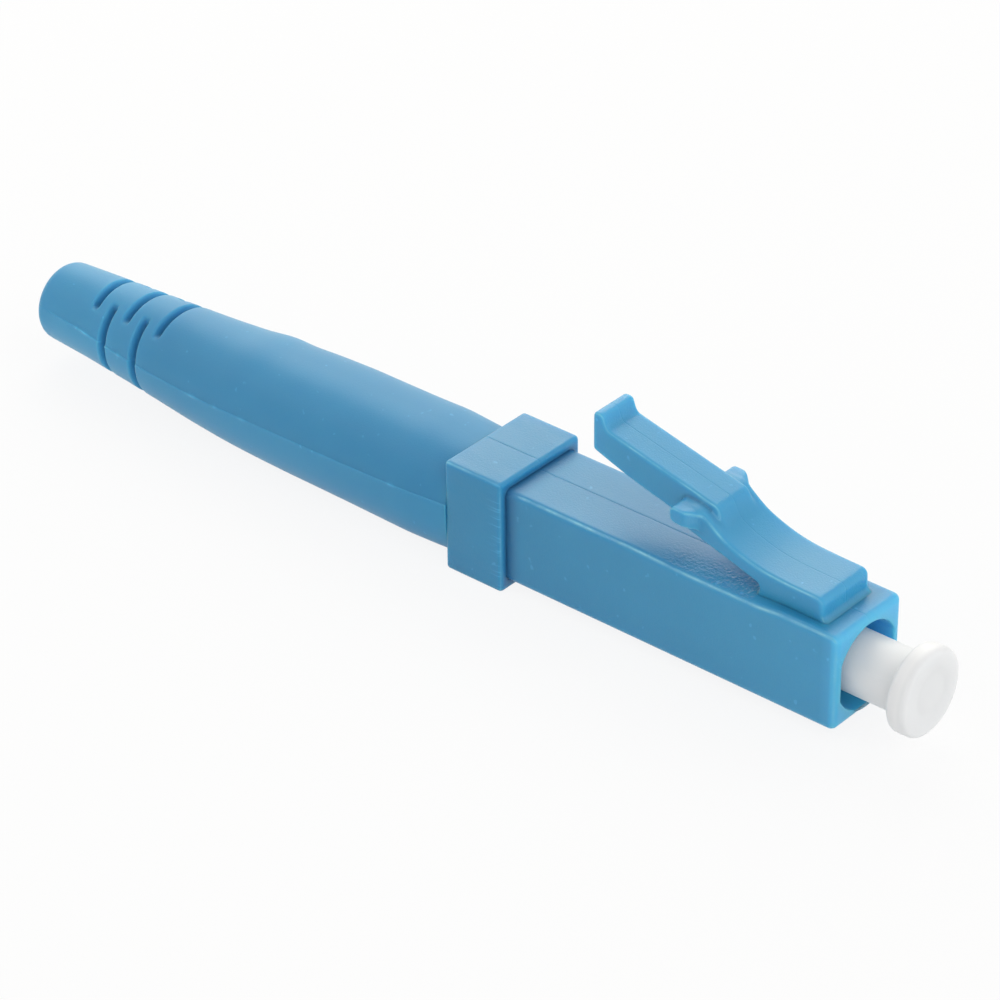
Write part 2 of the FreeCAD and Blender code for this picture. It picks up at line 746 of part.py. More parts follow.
def make_dust_cap():
    """Push-on cap: tubular stem over the ferrule, thick round head with a dished front."""
    bore = "sheet.ferrule_radius + sheet.cap_clearance"
    floor = f"{FERRULE_TIP} + sheet.cap_tip_gap"
    head_rear = f"({FRONT} + sheet.cap_reach)"
    head_front = f"({head_rear} + sheet.cap_head_thickness)"
    stem_rear = f"{head_rear} - sheet.cap_stem_length"
    corners = [
        (stem_rear, bore),
        (floor, bore),
        (floor, "0"),
        (f"{head_front} - sheet.cap_centre_depth", "0"),
        (f"{head_front} - sheet.cap_centre_depth", "sheet.cap_centre_radius"),
        (f"{head_front} - sheet.cap_dish_depth", "sheet.cap_dish_radius"),
    ]
    corners += rim_corners(head_front, -1, "sheet.cap_head_radius", "sheet.cap_front_round")
    corners += rim_corners(head_rear, 1, "sheet.cap_head_radius", "sheet.cap_rear_round")[::-1]
    corners.append((head_rear, "sheet.cap_stem_radius"))
    corners.append((stem_rear, "sheet.cap_stem_radius"))
    return turned("dust_cap", corners)


pieces = [
    make_housing(),
    make_latch(),
    make_ferrule(),
    make_flange(),
    make_guide_tube(),
    make_spring(),
    make_spring_stop(),
    make_crimp_ring(),
    make_boot(),
    make_dust_cap(),
]
doc.recompute()

for item in doc.Objects:
    if "Invalid" in item.State or "Error" in item.State:
        raise RuntimeError(f"{item.Label} failed: {item.State}")
for piece in pieces:
    if piece.Shape.isNull() or not piece.Shape.isValid():
        raise RuntimeError(f"{piece.Label} has no valid shape")

os.makedirs("parts", exist_ok=True)
for piece in pieces:
    piece.Shape.exportStep(f"parts/{piece.Label}.step")
    print(piece.Label, len(piece.Shape.Solids), round(piece.Shape.Volume, 3))
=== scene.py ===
"""Looks of the fibre connector: moulded housing with its latch, slotted boot and translucent dust cap."""

import itertools
import math

import bpy
import numpy as np
from mathutils import Matrix, Vector


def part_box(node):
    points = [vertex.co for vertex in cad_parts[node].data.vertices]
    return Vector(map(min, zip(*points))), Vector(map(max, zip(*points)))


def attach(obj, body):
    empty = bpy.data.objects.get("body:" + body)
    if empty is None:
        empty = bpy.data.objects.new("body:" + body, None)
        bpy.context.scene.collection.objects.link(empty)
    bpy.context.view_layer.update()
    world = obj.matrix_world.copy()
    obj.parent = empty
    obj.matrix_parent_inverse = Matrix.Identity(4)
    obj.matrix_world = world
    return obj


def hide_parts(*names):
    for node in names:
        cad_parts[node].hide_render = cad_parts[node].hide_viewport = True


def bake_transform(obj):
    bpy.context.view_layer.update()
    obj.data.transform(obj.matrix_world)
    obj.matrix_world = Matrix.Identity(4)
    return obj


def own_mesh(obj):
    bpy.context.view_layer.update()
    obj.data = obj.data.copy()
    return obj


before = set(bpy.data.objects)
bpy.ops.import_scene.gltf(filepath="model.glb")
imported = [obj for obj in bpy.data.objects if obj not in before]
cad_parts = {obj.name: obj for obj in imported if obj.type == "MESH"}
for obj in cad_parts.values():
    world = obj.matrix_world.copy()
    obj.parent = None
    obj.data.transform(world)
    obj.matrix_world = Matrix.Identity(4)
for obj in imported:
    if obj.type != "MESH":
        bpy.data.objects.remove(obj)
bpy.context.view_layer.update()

# Shapes are worked out in millimetres and placed in metres.
MM = 0.001

# Heights of the ferrule axis, the body's middle and the body's top
AXIS = 2.61
MIDDLE = 2.70
TOP = 4.95

# Housing: places along X, half sizes and rounds
REAR, COLLAR_FRONT, FRONT = -1.56, 1.54, 18.65
WEB_FRONT, WEB_REAR = 14.05, 13.05
COLLAR_HALF = (2.6, 2.7)
BODY_HALF = (2.2, 2.25)
COLLAR_ROUND, BODY_ROUND, FRONT_ROUND, MOUTH_ROUND = 0.2, 0.28, 0.34, 0.07
LEAST_ROUND = 0.03
# Narrow gap round the body where the collar starts
GAP_WIDTH, GAP_DEPTH = 0.06, 0.05
MOUTH_RADIUS, MOUTH_HALF = 1.95, 1.76
BORE_RADIUS, WEB_RADIUS = 1.7, 0.85
# Chamfer at the rear of the bore: length and height
BORE_CHAMFER = (0.1, 0.08)
# Places between which the body has evenly spaced rings, their count, and the rings of the front's rounds
BODY_RINGS = (COLLAR_FRONT + 1.0, FRONT - 0.8, 15)
FRONT_STEPS, MOUTH_RINGS = 9, 5
# Columns of points round the housing, in degrees: even ones, then close ones about the corners,
# the ends of the mouth's flats and the parting line
EVEN_COLUMNS = np.arange(0, 360, 3.0)
CLOSE_COLUMNS = (
    ((47.5, 132.5, 224.0, 316.0), np.linspace(-7, 7, 17)),
    ((25.5, 154.5, 205.5, 334.5), np.array([-1.0, -0.3, 0.3, 1.0])),
    ((90, 270), np.array([-0.7, -0.35, 0.35, 0.7])),
)
# A section's points lie within this reach of the ferrule axis, and are found by so many halvings
LARGEST_REACH, HALVINGS = 6.0, 40

# Sunk shoulders of the body's top under the latch: depth and distance from the middle where they start
SINK_DEPTH, SINK_START = 0.1, 0.9
# Places along X between which they set in, from the rear and from the front
SINK_REAR, SINK_FRONT = (8.0, 11.0), (15.5, 14.5)

# Parting line of the mould, a fine groove along the middle
LINE_HALF, LINE_DEPTH = 0.024, 0.012

# Boot: place along X, half size across a corner, shift of the middle, squareness (2 is round),
# height of the crease
BOOT_STATIONS = np.array([
    (-1.53, 2.80, -0.09, 2.75, 0.56),
    (-2.35, 2.85, -0.09, 2.75, 0.52),
    (-4.05, 2.93, -0.07, 2.7, 0.45),
    (-5.35, 2.90, -0.08, 2.65, 0.40),
    (-7.35, 2.876, -0.07, 2.6, 0.33),
    (-9.35, 2.865, -0.06, 2.55, 0.29),
    (-11.35, 2.825, -0.085, 2.5, 0.28),
    (-12.85, 2.765, -0.115, 2.4, 0.27),
    (-13.85, 2.765, -0.085, 2.35, 0.25),
    (-14.35, 2.73, -0.10, 2.3, 0.24),
    (-15.35, 2.635, -0.15, 2.25, 0.23),
    (-17.35, 2.485, -0.15, 2.15, 0.21),
    (-19.35, 2.335, -0.105, 2.08, 0.18),
    (-21.35, 2.19, -0.06, 2.05, 0.21),
    (-24.35, 1.995, 0.0, 2.0, 0.42),
    (-27.10, 1.84, 0.0, 2.0, 0.50),
])
BOOT_MOUTH, BOOT_END = -1.50, -27.10
BOOT_LIFT = 0.08
BOOT_SOCKET = ((-7.35, 2.0), (-9.80, 1.8))
CABLE_RADIUS, CABLE_CHAMFER = 1.1, 0.1
TAIL_ROUND = 0.5
# Length along X over which the boot's change of slope is rounded
BOOT_SOFTNESS = 0.35
# Direction, across the axis, in which the boot's middle wanders
BOOT_LEAN = (0.54, 0.64)
# Columns of points round the boot, in degrees: step of the even ones, close ones about a crease,
# and how far the even ones stay off it
BOOT_COLUMN_STEP, CREASE_CLEAR = 1.7, 2.6
CREASE_COLUMNS = np.array([-2.0, -1.0, -0.5, -0.2, 0.2, 0.5, 1.0, 2.0])
# Crease along both sides where the mould halves met: step of the lower half, its width and its reach
CREASE_STEP, CREASE_WIDTH, CREASE_REACH = 0.05, 0.03, 0.9
# Share of lighter tone under the crease, painted light of the bounce from the floor, and the distances below
# it where that has faded and is full
CREASE_LIGHT_TONE, CREASE_SHADE = 0.16, (3.52, 1.32)
# Paler line on the crease, a painted highlight: half width and tone
CREASE_LINE, CREASE_HIGHLIGHT_TONE = 0.035, 0.12
CREASE_ANGLE, CREASE_SPREAD = 8.0, 50.0
# Length at the tail over which the crease fades out
CREASE_FADE = 2.5
# Specks of flash on the crease, raised and with a painted highlight: place along X and half length
FLASH = (
    (-24.2, 0.10), (-23.7, 0.32), (-22.28, 0.08), (-21.35, 0.12), (-20.45, 0.10),
    (-16.4, 0.25), (-14.9, 0.10), (-13.3, 0.12), (-8.5, 0.08), (-4.5, 0.16),
)
FLASH_HALF, FLASH_RISE, FLASH_HIGHLIGHT_TONE = 0.07, 0.035, 0.5
# Flex slots: rows (place along X, middle angles, half angle)
SLOT_ROWS = (
    (-23.53, (90, 270), 42),
    (-22.50, (0, 180), 58),
    (-21.47, (90, 270), 42),
    (-20.44, (0, 180), 58),
    (-19.41, (90, 270), 42),
)
SLOT_HALF, SLOT_SOFT, SLOT_DEPTH, SLOT_END = 0.05, 0.23, 0.42, 12.0
# Places along X of the close rings round the slots and their step, and where the plain rings start
SLOT_RINGS, SLOT_RING_STEP, PLAIN_START = (-24.3, -18.7), 0.04, -18.6
# Count of the boot's rings behind the slots, ahead of them and round the tail's edge
TAIL_RINGS, PLAIN_RINGS, RIM_RINGS = 14, 90, 8

# Dust cap: places of the stem's open end, the bore's closed end, the head's rear and front
CAP_OPEN, CAP_CLOSED, CAP_REAR, CAP_FRONT = 15.95, 20.75, 20.87, 21.80
# Radii of stem, head, bore and the bore's flat end
CAP_STEM, CAP_HEAD, CAP_BORE, CAP_BORE_FLAT = 1.35, 1.96, 0.645, 0.58
# Rounds at the bore's end, the stem's end, between stem and head, and at the head's rear and front
BORE_END_ROUND, STEM_ROUND, NECK_ROUND, HEAD_REAR_ROUND, HEAD_FRONT_ROUND = 0.07, 0.08, 0.05, 0.2, 0.26
# Chamfer of the bore's open end (length, height), and width of the stem's rounded edge there
CAP_CHAMFER, STEM_EDGE = (0.1, 0.075), 0.1
# Places of plain rings along the stem
STEM_RINGS = (17.5, 19.0)
# Radius of a ring that stands for a point on the axis
CENTRE = 0.001
# Shallow dish of the head's face: depth and radius
CAP_DISH = (
    (0.005, 1.5), (0.012, 1.3), (0.035, 1.14), (0.06, 1.0), (0.068, 0.88),
    (0.06, 0.74), (0.045, 0.6), (0.035, 0.45), (0.03, 0.3), (0.03, CENTRE),
)

# Coil spring behind the ferrule: wire, mean radius, turns, and how far the ferrule floats back
WIRE, COIL_RADIUS, COIL_TURNS, FLOAT_TRAVEL = 0.35, 1.3, 4, 1.2
# Rings in a turn of the wire, degrees between its columns, and share of the wire's size at its closed ends
COIL_RINGS, COIL_COLUMN_STEP, COIL_TIP = 48, 30, 0.01

# Latch outline (place along X, height): the flexing band with its root, the thumb plate, the ears' side
BAND = [
    (17.45, 4.80), (17.45, 5.66), (17.40, 5.83), (17.28, 5.94), (17.12, 5.99),
    (16.15, 6.00), (15.15, 6.04), (14.65, 6.085), (14.15, 6.165), (13.65, 6.285), (13.15, 6.445),
    (12.65, 6.64), (12.25, 6.845), (11.98, 7.03), (11.74, 7.21), (11.48, 7.41), (11.22, 7.55),
    (10.9, 7.63), (10.08, 7.64), (10.08, 6.596), (13.94, 5.463), (14.08, 5.42), (14.16, 5.36),
    (14.21, 5.27), (14.22, 5.18), (14.21, 5.08), (14.17, 5.00), (14.10, 4.955), (14.04, 4.90), (14.04, 4.80),
]
PLATE = [
    (11.41, 7.80), (6.14, 9.03), (6.02, 9.07), (5.92, 9.17), (5.85, 9.32), (5.79, 9.50), (5.745, 9.62),
    (5.66, 9.685), (5.56, 9.72), (5.38, 9.72), (5.28, 9.68), (5.23, 9.59), (5.22, 9.46), (5.22, 8.06),
    (5.24, 7.98), (5.30, 7.91), (6.0, 7.66), (7.0, 7.32), (8.0, 7.04), (9.5, 6.655), (12.05, 5.96),
    (12.05, 6.84), (11.99, 7.04), (11.88, 7.38), (11.78, 7.57), (11.69, 7.69), (11.57, 7.76),
]
EAR = [
    (10.04, 6.96), (10.04, 7.66), (10.9, 7.63), (11.22, 7.52), (11.48, 7.36), (11.74, 7.15),
    (11.98, 6.96), (12.3, 6.74), (12.3, 6.30), (11.6, 6.55), (10.9, 6.86),
]
# Corners of the outlines are cut by this length, at most by this share of a side
CORNER_CUT, LARGEST_CUT = 0.16, 0.25
# Latch half widths, edge rounds and fillets
BAND_HALF, PLATE_HALF, EAR_HALF = 1.56, 1.04, 2.1
BAND_EDGE, PLATE_EDGE, EAR_EDGE = 0.2, 0.15, 0.14
PLATE_BLEND, EAR_BLEND = 0.24, 0.14
# Places along X between which the ear narrows, and how far it ends inside the band's side
EAR_TAPER, EAR_TUCK = (10.6, 11.6), 0.1
# Fillet at the foot of the root, and the places along X between which it sets in
ROOT_FLARE, FLARE_PLACES = 0.3, (16.6, 17.4)
# Grid round the latch: step, reach along X, up and to the side, and close columns at the parting line
NET_STEP = 0.055
NET_LENGTH, NET_HEIGHT, NET_SIDE = (5.1, 17.8), (4.7, 9.95), (-2.2, -0.06)
NET_MIDDLE = np.linspace(-0.045, 0.045, 7)
# The net's points settle on the surface: passes, step that measures the slope, least slope, largest move
SETTLE_PASSES, SLOPE_STEP, LEAST_SLOPE, LARGEST_MOVE = 3, 0.004, 0.25, 0.02

# Light and dark blue of the housing and the boot
HOUSING_BLUES = ((0.036, 0.31, 0.55), (0.031, 0.29, 0.52))
BOOT_BLUES = ((0.050, 0.315, 0.56), (0.042, 0.29, 0.53))
# Paler blue for the specks and scuffs and for painted light on thin walls, deeper blue for painted shade in
# corners, valleys and slots, blue of rubbed edges that is partly wear and partly a painted highlight
SPECK_AND_LIT_BLUE = (0.10, 0.50, 0.79)
SHADE_BLUE = (0.040, 0.13, 0.31)
RUBBED_AND_HIGHLIT_BLUE = (0.22, 0.58, 0.74)
# Whites of the cap's stem and of its head's face: the stem is painted whiter to lift the shade it sits in,
# the face painted greyer against the strong light ahead of it
STEM_LIFTED_WHITE, FACE_DIMMED_WHITE = (0.96, 0.965, 0.97), (0.77, 0.78, 0.79)

# Tone of a point: share of the paler blue, which paints light, or, where less than zero, of the deeper blue,
# which paints shade
WALL_LIGHT_TONE, FRONT_GLOW_TONE, MOUTH_GLOW_TONE, CORNER_SHADE_TONE = 0.3, 0.9, 0.9, -0.6
LATCH_LIGHT_TONE, LATCH_END_LIGHT_TONE, VALLEY_SHADE_TONE, UNDER_LATCH_LIGHT_TONE = 0.27, 0.15, -0.3, 0.4
SLOT_SHADE_TONE, TAIL_LIGHT_TONE = -0.3, 0.22
# Painted light: side walls get paler between these places along X and beside the middle, and the front glows
# paler, as if lit through its thin walls, between these along X
WALL_PLACES, WALL_SIDE, FRONT_PLACES = (3.0, 16.0), (1.7, 2.2), (FRONT - 0.55, FRONT - 0.05)
# Share of the sunk shoulders' shelter at which the top under the latch gets paler, painted light that lifts
# the latch's shade
SHELTER_SPAN = (0.8, 1.0)
# How far the painted shade of deeper blue reaches from the collar's corner, along the body and up the collar
CORNER_REACH = (0.8, 0.36)
# Slack for comparing places along X
SLACK = 0.01
# Share of a slot's depth at which painted shade of deeper blue sets in
SLOT_SPAN = (0.35, 0.85)
# Length of the boot's thin tail, over which it gets paler, painted light as if shining through the thin
# rubber
TAIL_LENGTH = 8.0
# Places along X between which the thumb plate's end gets paler, painted light
LATCH_END_PLACES = (7.2, 5.2)
# Distance from band and plate within which their valley gets painted shade of deeper blue, behind a place
# along X
VALLEY_SPAN, VALLEY_FRONT = (0.168, 0.028), 11.5

# Noise in the plastic, per metre: clouds of the dye, specks, patches of rubbed wear and painted edge
# highlight, rough top, grain
CLOUD_SCALE, SPECK_SCALE, PATCH_SCALE, ROUGH_SCALE, GRAIN_SCALE = 180.0, 2600.0, 900.0, 6500.0, 14000.0
# Values of the noise between which it takes effect, and the effect's largest or least share
CLOUD_SPAN = (0.35, 0.65)
SPECK_SPAN, SPECK_SHARE = (0.73, 0.78), 0.4
PATCH_SPAN, PATCH_LEAST = (0.4, 0.62), 0.2
GRAIN_RISE = 0.02
# Rubbed edges, partly wear and partly a painted highlight: even split of the normal between Y and the rest,
# its rise, and the share on upright edges
EDGE_SPAN, RISING_SPAN, UPRIGHT_SHARE = (0.2, 0.44), (0.1, 0.4), 0.35
# Tone of painted shade at which an edge is too sunk to be rubbed or highlit, share that shines fully, and how
# much smoother that is
SUNK_TONE, SHINE_SHARE, SHINE_GAIN = -0.2, 0.6, 0.14
# Scuffs at the front of the collar's side: places along Y and X between which they set in, largest share
SCUFF_SIDE, SCUFF_PLACES, SCUFF_SHARE = (-2.5, -2.58), (0.7, 1.5), 0.55
SCUFF_STRETCH, SCUFF_SPAN = (900.0, 900.0, 11000.0), (0.58, 0.68)
# Rough patch of the body's top: distance from the top's height, height of the pits, places where it sets in
ROUGH_NEAR, ROUGH_RISE = 0.13, 0.09
ROUGH_REAR, ROUGH_FRONT, ROUGH_SIDE = (8.5, 11.8), (14.6, 13.8), (0.3, 1.2)
# Cap: places along X between which the head's greyer face, painted shade against its strong light, sets in,
# its share, and the share of clouds
FACE_PLACES, FACE_SHARE, CAP_CLOUD_SHARE = (21.4, 21.7), 0.75, 0.25
CAP_CLOUD_SCALE, CAP_GRAIN_SCALE, CAP_GRAIN = 400.0, 7000.0, 0.08
# Turning marks of metal: scale per metre, height, strength, and change of roughness
TURNING_SCALE, TURNING_RISE, TURNING_STRENGTH, TURNING_SHINE = 30000.0, 0.01, 0.2, 0.08
CERAMIC_SCALE, CERAMIC_SHINE = 1500.0, (0.12, 0.22)

# Photograph's camera, found from the part's straight edges
AZIMUTH, ELEVATION, ROLL = math.radians(40.8719), math.radians(32.7159), math.radians(-0.6151)
CAMERA_PLACE = Vector((0.09818, -0.11428, 0.09958))
SENSOR_WIDTH, FOCAL_LENGTH, NEAREST_SEEN = 36.0, 152.07, 0.001

# Floor: half size in metres, colour, and share of plain white in what the camera sees of it
FLOOR_HALF, FLOOR_GREY, FLOOR_WHITENESS = 1.5, (0.92, 0.92, 0.92, 1), 0.88
WHITE = (1, 1, 1, 1)
# Point above the floor that the lamps face
LAMP_TARGET = Vector((0, 0, 0.003))


class Nodes:
    """Short ways to add nodes to the tree of a material or a world."""

    def __init__(self, tree):
        self.tree = tree

    def put(self, socket, content):
        """Link another node's output to a socket, or set the socket's value."""
        if isinstance(content, bpy.types.NodeSocket):
            self.tree.links.new(content, socket)
        else:
            socket.default_value = content

    def fill(self, item, **inputs):
        """Fill a node's inputs by name, with spaces written as underscores."""
        for key, content in inputs.items():
            self.put(item.inputs[key.replace("_", " ")], content)
        return item

    def add(self, kind, settings=None, **inputs):
        """New node with settings by attribute name and inputs by socket name."""
        item = self.tree.nodes.new(f"ShaderNode{kind}")
        for key, content in (settings or {}).items():
            setattr(item, key, content)
        return self.fill(item, **inputs)

    def ordered(self, item, *contents):
        """First output of a node whose inputs are filled in order."""
        for socket, content in zip(item.inputs, contents):
            self.put(socket, content)
        return item.outputs[0]

    def maths(self, operation, *terms, clamp=False):
        return self.ordered(self.add("Math", {"operation": operation, "use_clamp": clamp}), *terms)

    def scaled(self, value, low, high, bottom=0.0, top=1.0):
        """Value from low to high brought to the range from bottom to top, and held there."""
        item = self.add("MapRange", Value=value, From_Min=low, From_Max=high, To_Min=bottom, To_Max=top)
        return item.outputs["Result"]

    def between(self, place, low, high, top=1.0):
        """Share that grows from zero to the top between two places in millimetres."""
        return self.scaled(place, low * MM, high * MM, top=top)

    def place(self, kind="Object"):
        return self.add("TexCoord").outputs[kind]

    def parts(self, vector):
        return self.add("SeparateXYZ", Vector=vector).outputs

    def noise(self, place, scale, detail):
        return self.add("TexNoise", Vector=place, Scale=scale, Detail=detail).outputs["Fac"]

    def mixed(self, share, first, second):
        """Colour of an output with a share of a plain colour."""
        return self.add("MixRGB", Fac=share, Color1=first, Color2=(*second, 1)).outputs["Color"]

    def ramp(self, value, first, second, ends=(0.0, 1.0)):
        """Colour that runs from the first to the second between two values."""
        item = self.add("ValToRGB", Fac=value)
        for stop, end, colour in zip(item.color_ramp.elements, ends, (first, second)):
            stop.position = end
            stop.color = (*colour, 1)
        return item.outputs["Color"]

    def bump(self, height, strength, distance, **base):
        """Normal roughened by a height in millimetres, over the base Normal where one is given."""
        item = self.add("Bump", Height=height, Strength=strength, Distance=distance * MM, **base)
        return item.outputs["Normal"]

    def paled(self, plain, white, strength):
        """Plain shader with a share of white for what the camera and mirrors see."""
        path = self.add("LightPath").outputs
        seen = path["Is Camera Ray"]
        for other in ("Is Glossy Ray", "Is Transmission Ray"):
            seen = self.maths("MAXIMUM", seen, path[other])
        share = self.maths("MULTIPLY", seen, strength)
        return self.ordered(self.add("MixShader"), share, plain, white)


class Finish(Nodes):
    """Material with one Principled shader."""

    def __init__(self, name):
        self.material = bpy.data.materials.new(name)
        self.material.use_nodes = True
        super().__init__(self.material.node_tree)
        self.shader = self.tree.nodes["Principled BSDF"]

    def surface(self, **inputs):
        self.fill(self.shader, **inputs)


def scuffed(finish, place, speck):
    """Specks with short level scratches added, near the front of the collar's side."""
    parts = finish.parts(place)
    beside = finish.between(parts["Y"], *SCUFF_SIDE)
    ahead = finish.between(parts["X"], *SCUFF_PLACES, top=SCUFF_SHARE)
    stretched = finish.ordered(finish.add("VectorMath", {"operation": "MULTIPLY"}), place, SCUFF_STRETCH)
    line = finish.scaled(finish.noise(stretched, 1.0, 1.0), *SCUFF_SPAN)
    area = finish.maths("MULTIPLY", beside, ahead)
    scuff = finish.maths("MULTIPLY", area, line)
    return finish.maths("MAXIMUM", scuff, speck)


def stippled(finish, place, normal):
    """Normal with the coarse texture of the body's top under the latch."""
    parts = finish.parts(place)
    amount = finish.maths("COMPARE", parts["Z"], TOP * MM, ROUGH_NEAR * MM)
    side = finish.maths("ABSOLUTE", parts["Y"])
    for value, span in ((parts["X"], ROUGH_REAR), (side, ROUGH_SIDE), (parts["X"], ROUGH_FRONT)):
        amount = finish.maths("MULTIPLY", amount, finish.between(value, *span))
    pits = finish.noise(place, ROUGH_SCALE, 2.0)
    return finish.bump(pits, amount, ROUGH_RISE, Normal=normal)


def rubbed_and_highlit_edges(finish, place, tone, wear_and_highlight):
    """Share of paler colour, in patches, on raised edges along the part and less on upright ones: partly
    rubbed wear, partly a painted highlight.
    """
    facing = finish.parts(finish.add("NewGeometry").outputs["Normal"])
    square = finish.maths("MULTIPLY", facing["Y"], facing["Y"])
    rest = finish.maths("SUBTRACT", 1.0, square)
    edge = finish.scaled(finish.maths("MINIMUM", square, rest), *EDGE_SPAN)
    sunk = finish.scaled(tone, 0.0, SUNK_TONE)
    raised = finish.maths("SUBTRACT", edge, sunk, clamp=True)
    patch = finish.scaled(finish.noise(place, PATCH_SCALE, 4.0), *PATCH_SPAN, PATCH_LEAST, wear_and_highlight)
    rising = finish.maths("ABSOLUTE", facing["Z"])
    level = finish.scaled(rising, *RISING_SPAN, bottom=UPRIGHT_SHARE)
    worn_and_highlit = finish.maths("MULTIPLY", raised, patch)
    return finish.maths("MULTIPLY", worn_and_highlit, level)


def blue_plastic(name, blues, roughness, grain, wear_and_highlight=0.0, sheen=0.0):
    """Dyed plastic with fine grain and specks, paler where a point's tone paints light and deeper where it
    paints shade; wear rubs its edges and paints a highlight along them.
    """
    light, dark = blues
    finish = Finish(name)
    place = finish.place()
    colour = finish.ramp(finish.noise(place, CLOUD_SCALE, 2.0), dark, light, CLOUD_SPAN)
    speck = finish.scaled(finish.noise(place, SPECK_SCALE, 1.0), *SPECK_SPAN, top=SPECK_SHARE)
    if wear_and_highlight:
        speck = scuffed(finish, place, speck)
    tone = finish.add("Attribute", {"attribute_name": "tone"}).outputs["Fac"]
    # Specks and scuffs, and painted light where the tone is above zero, mix in the paler blue
    colour = finish.mixed(finish.maths("ADD", speck, tone, clamp=True), colour, SPECK_AND_LIT_BLUE)
    # Painted shade, where the tone is below zero, mixes in the deeper blue
    colour = finish.mixed(finish.maths("MULTIPLY", tone, -1.0, clamp=True), colour, SHADE_BLUE)
    normal = finish.bump(finish.noise(place, GRAIN_SCALE, 3.0), grain, GRAIN_RISE)
    if wear_and_highlight:
        rubbed_and_highlit = rubbed_and_highlit_edges(finish, place, tone, wear_and_highlight)
        # Painted highlight and rubbed wear along the edges
        colour = finish.mixed(rubbed_and_highlit, colour, RUBBED_AND_HIGHLIT_BLUE)
        roughness = finish.scaled(rubbed_and_highlit, 0.0, SHINE_SHARE, roughness, roughness - SHINE_GAIN)
        normal = stippled(finish, place, normal)
    finish.surface(Base_Color=colour, Normal=normal, Roughness=roughness, IOR=1.5)
    finish.surface(Subsurface_Weight=0.85, Subsurface_Radius=(0.6, 0.85, 1.0), Subsurface_Scale=0.0009)
    if sheen:
        finish.surface(Sheen_Weight=sheen, Sheen_Roughness=0.35)
    return finish.material


def cap_plastic():
    """Milky plastic with clouds, painted whiter on the stem to lift its shade and greyer on the head's face
    against its strong light.
    """
    finish = Finish("cap_polymer")
    place = finish.place()
    face = finish.between(finish.parts(place)["X"], *FACE_PLACES, top=FACE_SHARE)
    cloud = finish.scaled(finish.noise(place, CAP_CLOUD_SCALE, 2.0), 0.0, 1.0, top=CAP_CLOUD_SHARE)
    # Painted light and shade: whiter stem, greyer head's face
    colour = finish.ramp(finish.maths("ADD", face, cloud), STEM_LIFTED_WHITE, FACE_DIMMED_WHITE)
    normal = finish.bump(finish.noise(place, CAP_GRAIN_SCALE, 2.0), CAP_GRAIN, GRAIN_RISE)
    finish.surface(Base_Color=colour, Normal=normal, Roughness=0.42)
    finish.surface(Subsurface_Weight=1.0, Subsurface_Radius=(1.0, 1.0, 1.0), Subsurface_Scale=0.0005)
    return finish.material


def turned_metal(name, colour, roughness):
    """Metal with fine turning marks round the ferrule axis."""
    finish = Finish(name)
    along = finish.parts(finish.place())["X"]
    rings = finish.add("TexNoise", {"noise_dimensions": "1D"}, W=along, Scale=TURNING_SCALE, Detail=3.0)
    height = rings.outputs["Fac"]
    shine = finish.scaled(height, 0.0, 1.0, roughness - TURNING_SHINE, roughness + TURNING_SHINE)
    normal = finish.bump(height, TURNING_STRENGTH, TURNING_RISE)
    finish.surface(Base_Color=(*colour, 1), Metallic=1.0, Roughness=shine, Normal=normal)
    return finish.material


def fine_ceramic():
    """Cream ceramic with a slightly uneven polish."""
    finish = Finish("zirconia")
    cloud = finish.noise(finish.place(), CERAMIC_SCALE, 3.0)
    finish.surface(Base_Color=(0.82, 0.80, 0.75, 1), Roughness=finish.scaled(cloud, 0.0, 1.0, *CERAMIC_SHINE))
    finish.surface(Subsurface_Weight=0.3, Subsurface_Scale=0.0005)
    return finish.material


def piece(name, points, faces, tone, material):
    """Smooth-shaded mesh object from points in millimetres and the tone of each."""
    mesh = bpy.data.meshes.new(name)
    mesh.from_pydata((points * MM).tolist(), [], faces.tolist())
    mesh.validate()
    mesh.materials.append(material)
    mesh.shade_smooth()
    mesh.attributes.new("tone", "FLOAT", "POINT").data.foreach_set("value", tone)
    obj = bpy.data.objects.new(name, mesh)
    bpy.context.collection.objects.link(obj)
    return obj


def crisp(obj, degrees):
    """Keep edges sharper than an angle sharp, and let large faces lead the shading."""
    obj.data.set_sharp_from_angle(angle=math.radians(degrees))
    weighted = obj.modifiers.new("weighted", "WEIGHTED_NORMAL")
    weighted.keep_sharp = True


def soft_step(amount):
    """Smooth rise from zero to one while the amount goes from zero to one."""
    amount = np.clip(amount, 0, 1)
    return amount * amount * (3 - 2 * amount)


def rise(value, low, high):
    """Smooth rise from zero to one while the value goes from low to high."""
    return soft_step((value - low) / (high - low))


def skin(rings):
    """Points and faces of a closed skin through rings of equal count; the last ring joins the first."""
    count, around = rings.shape[:2]
    first = np.arange(count * around).reshape(count, around)
    second = np.roll(first, -1, axis=1)
    third = np.roll(second, -1, axis=0)
    fourth = np.roll(first, -1, axis=0)
    faces = np.stack([first, second, third, fourth], axis=-1).reshape(-1, 4)
    points = rings.reshape(-1, 3)
    corners = points[faces]
    volume = np.einsum("ij,ij->i", corners[:, 0], np.cross(corners[:, 1], corners[:, 2])).sum()
    volume += np.einsum("ij,ij->i", corners[:, 0], np.cross(corners[:, 2], corners[:, 3])).sum()
    return points, faces if volume > 0 else faces[:, ::-1]


def box_section(half, corner):
    """Distance to a rounded rectangle about the body's middle, from points about the ferrule axis."""
    def distance(across, up):
        side = np.abs(across) - half[0] + corner
        level = np.abs(up + AXIS - MIDDLE) - half[1] + corner
        outside = np.hypot(np.maximum(side, 0), np.maximum(level, 0))
        return outside + np.minimum(np.maximum(side, level), 0) - corner
    return distance


def round_section(radius):
    return lambda across, up: np.hypot(across, up) - radius


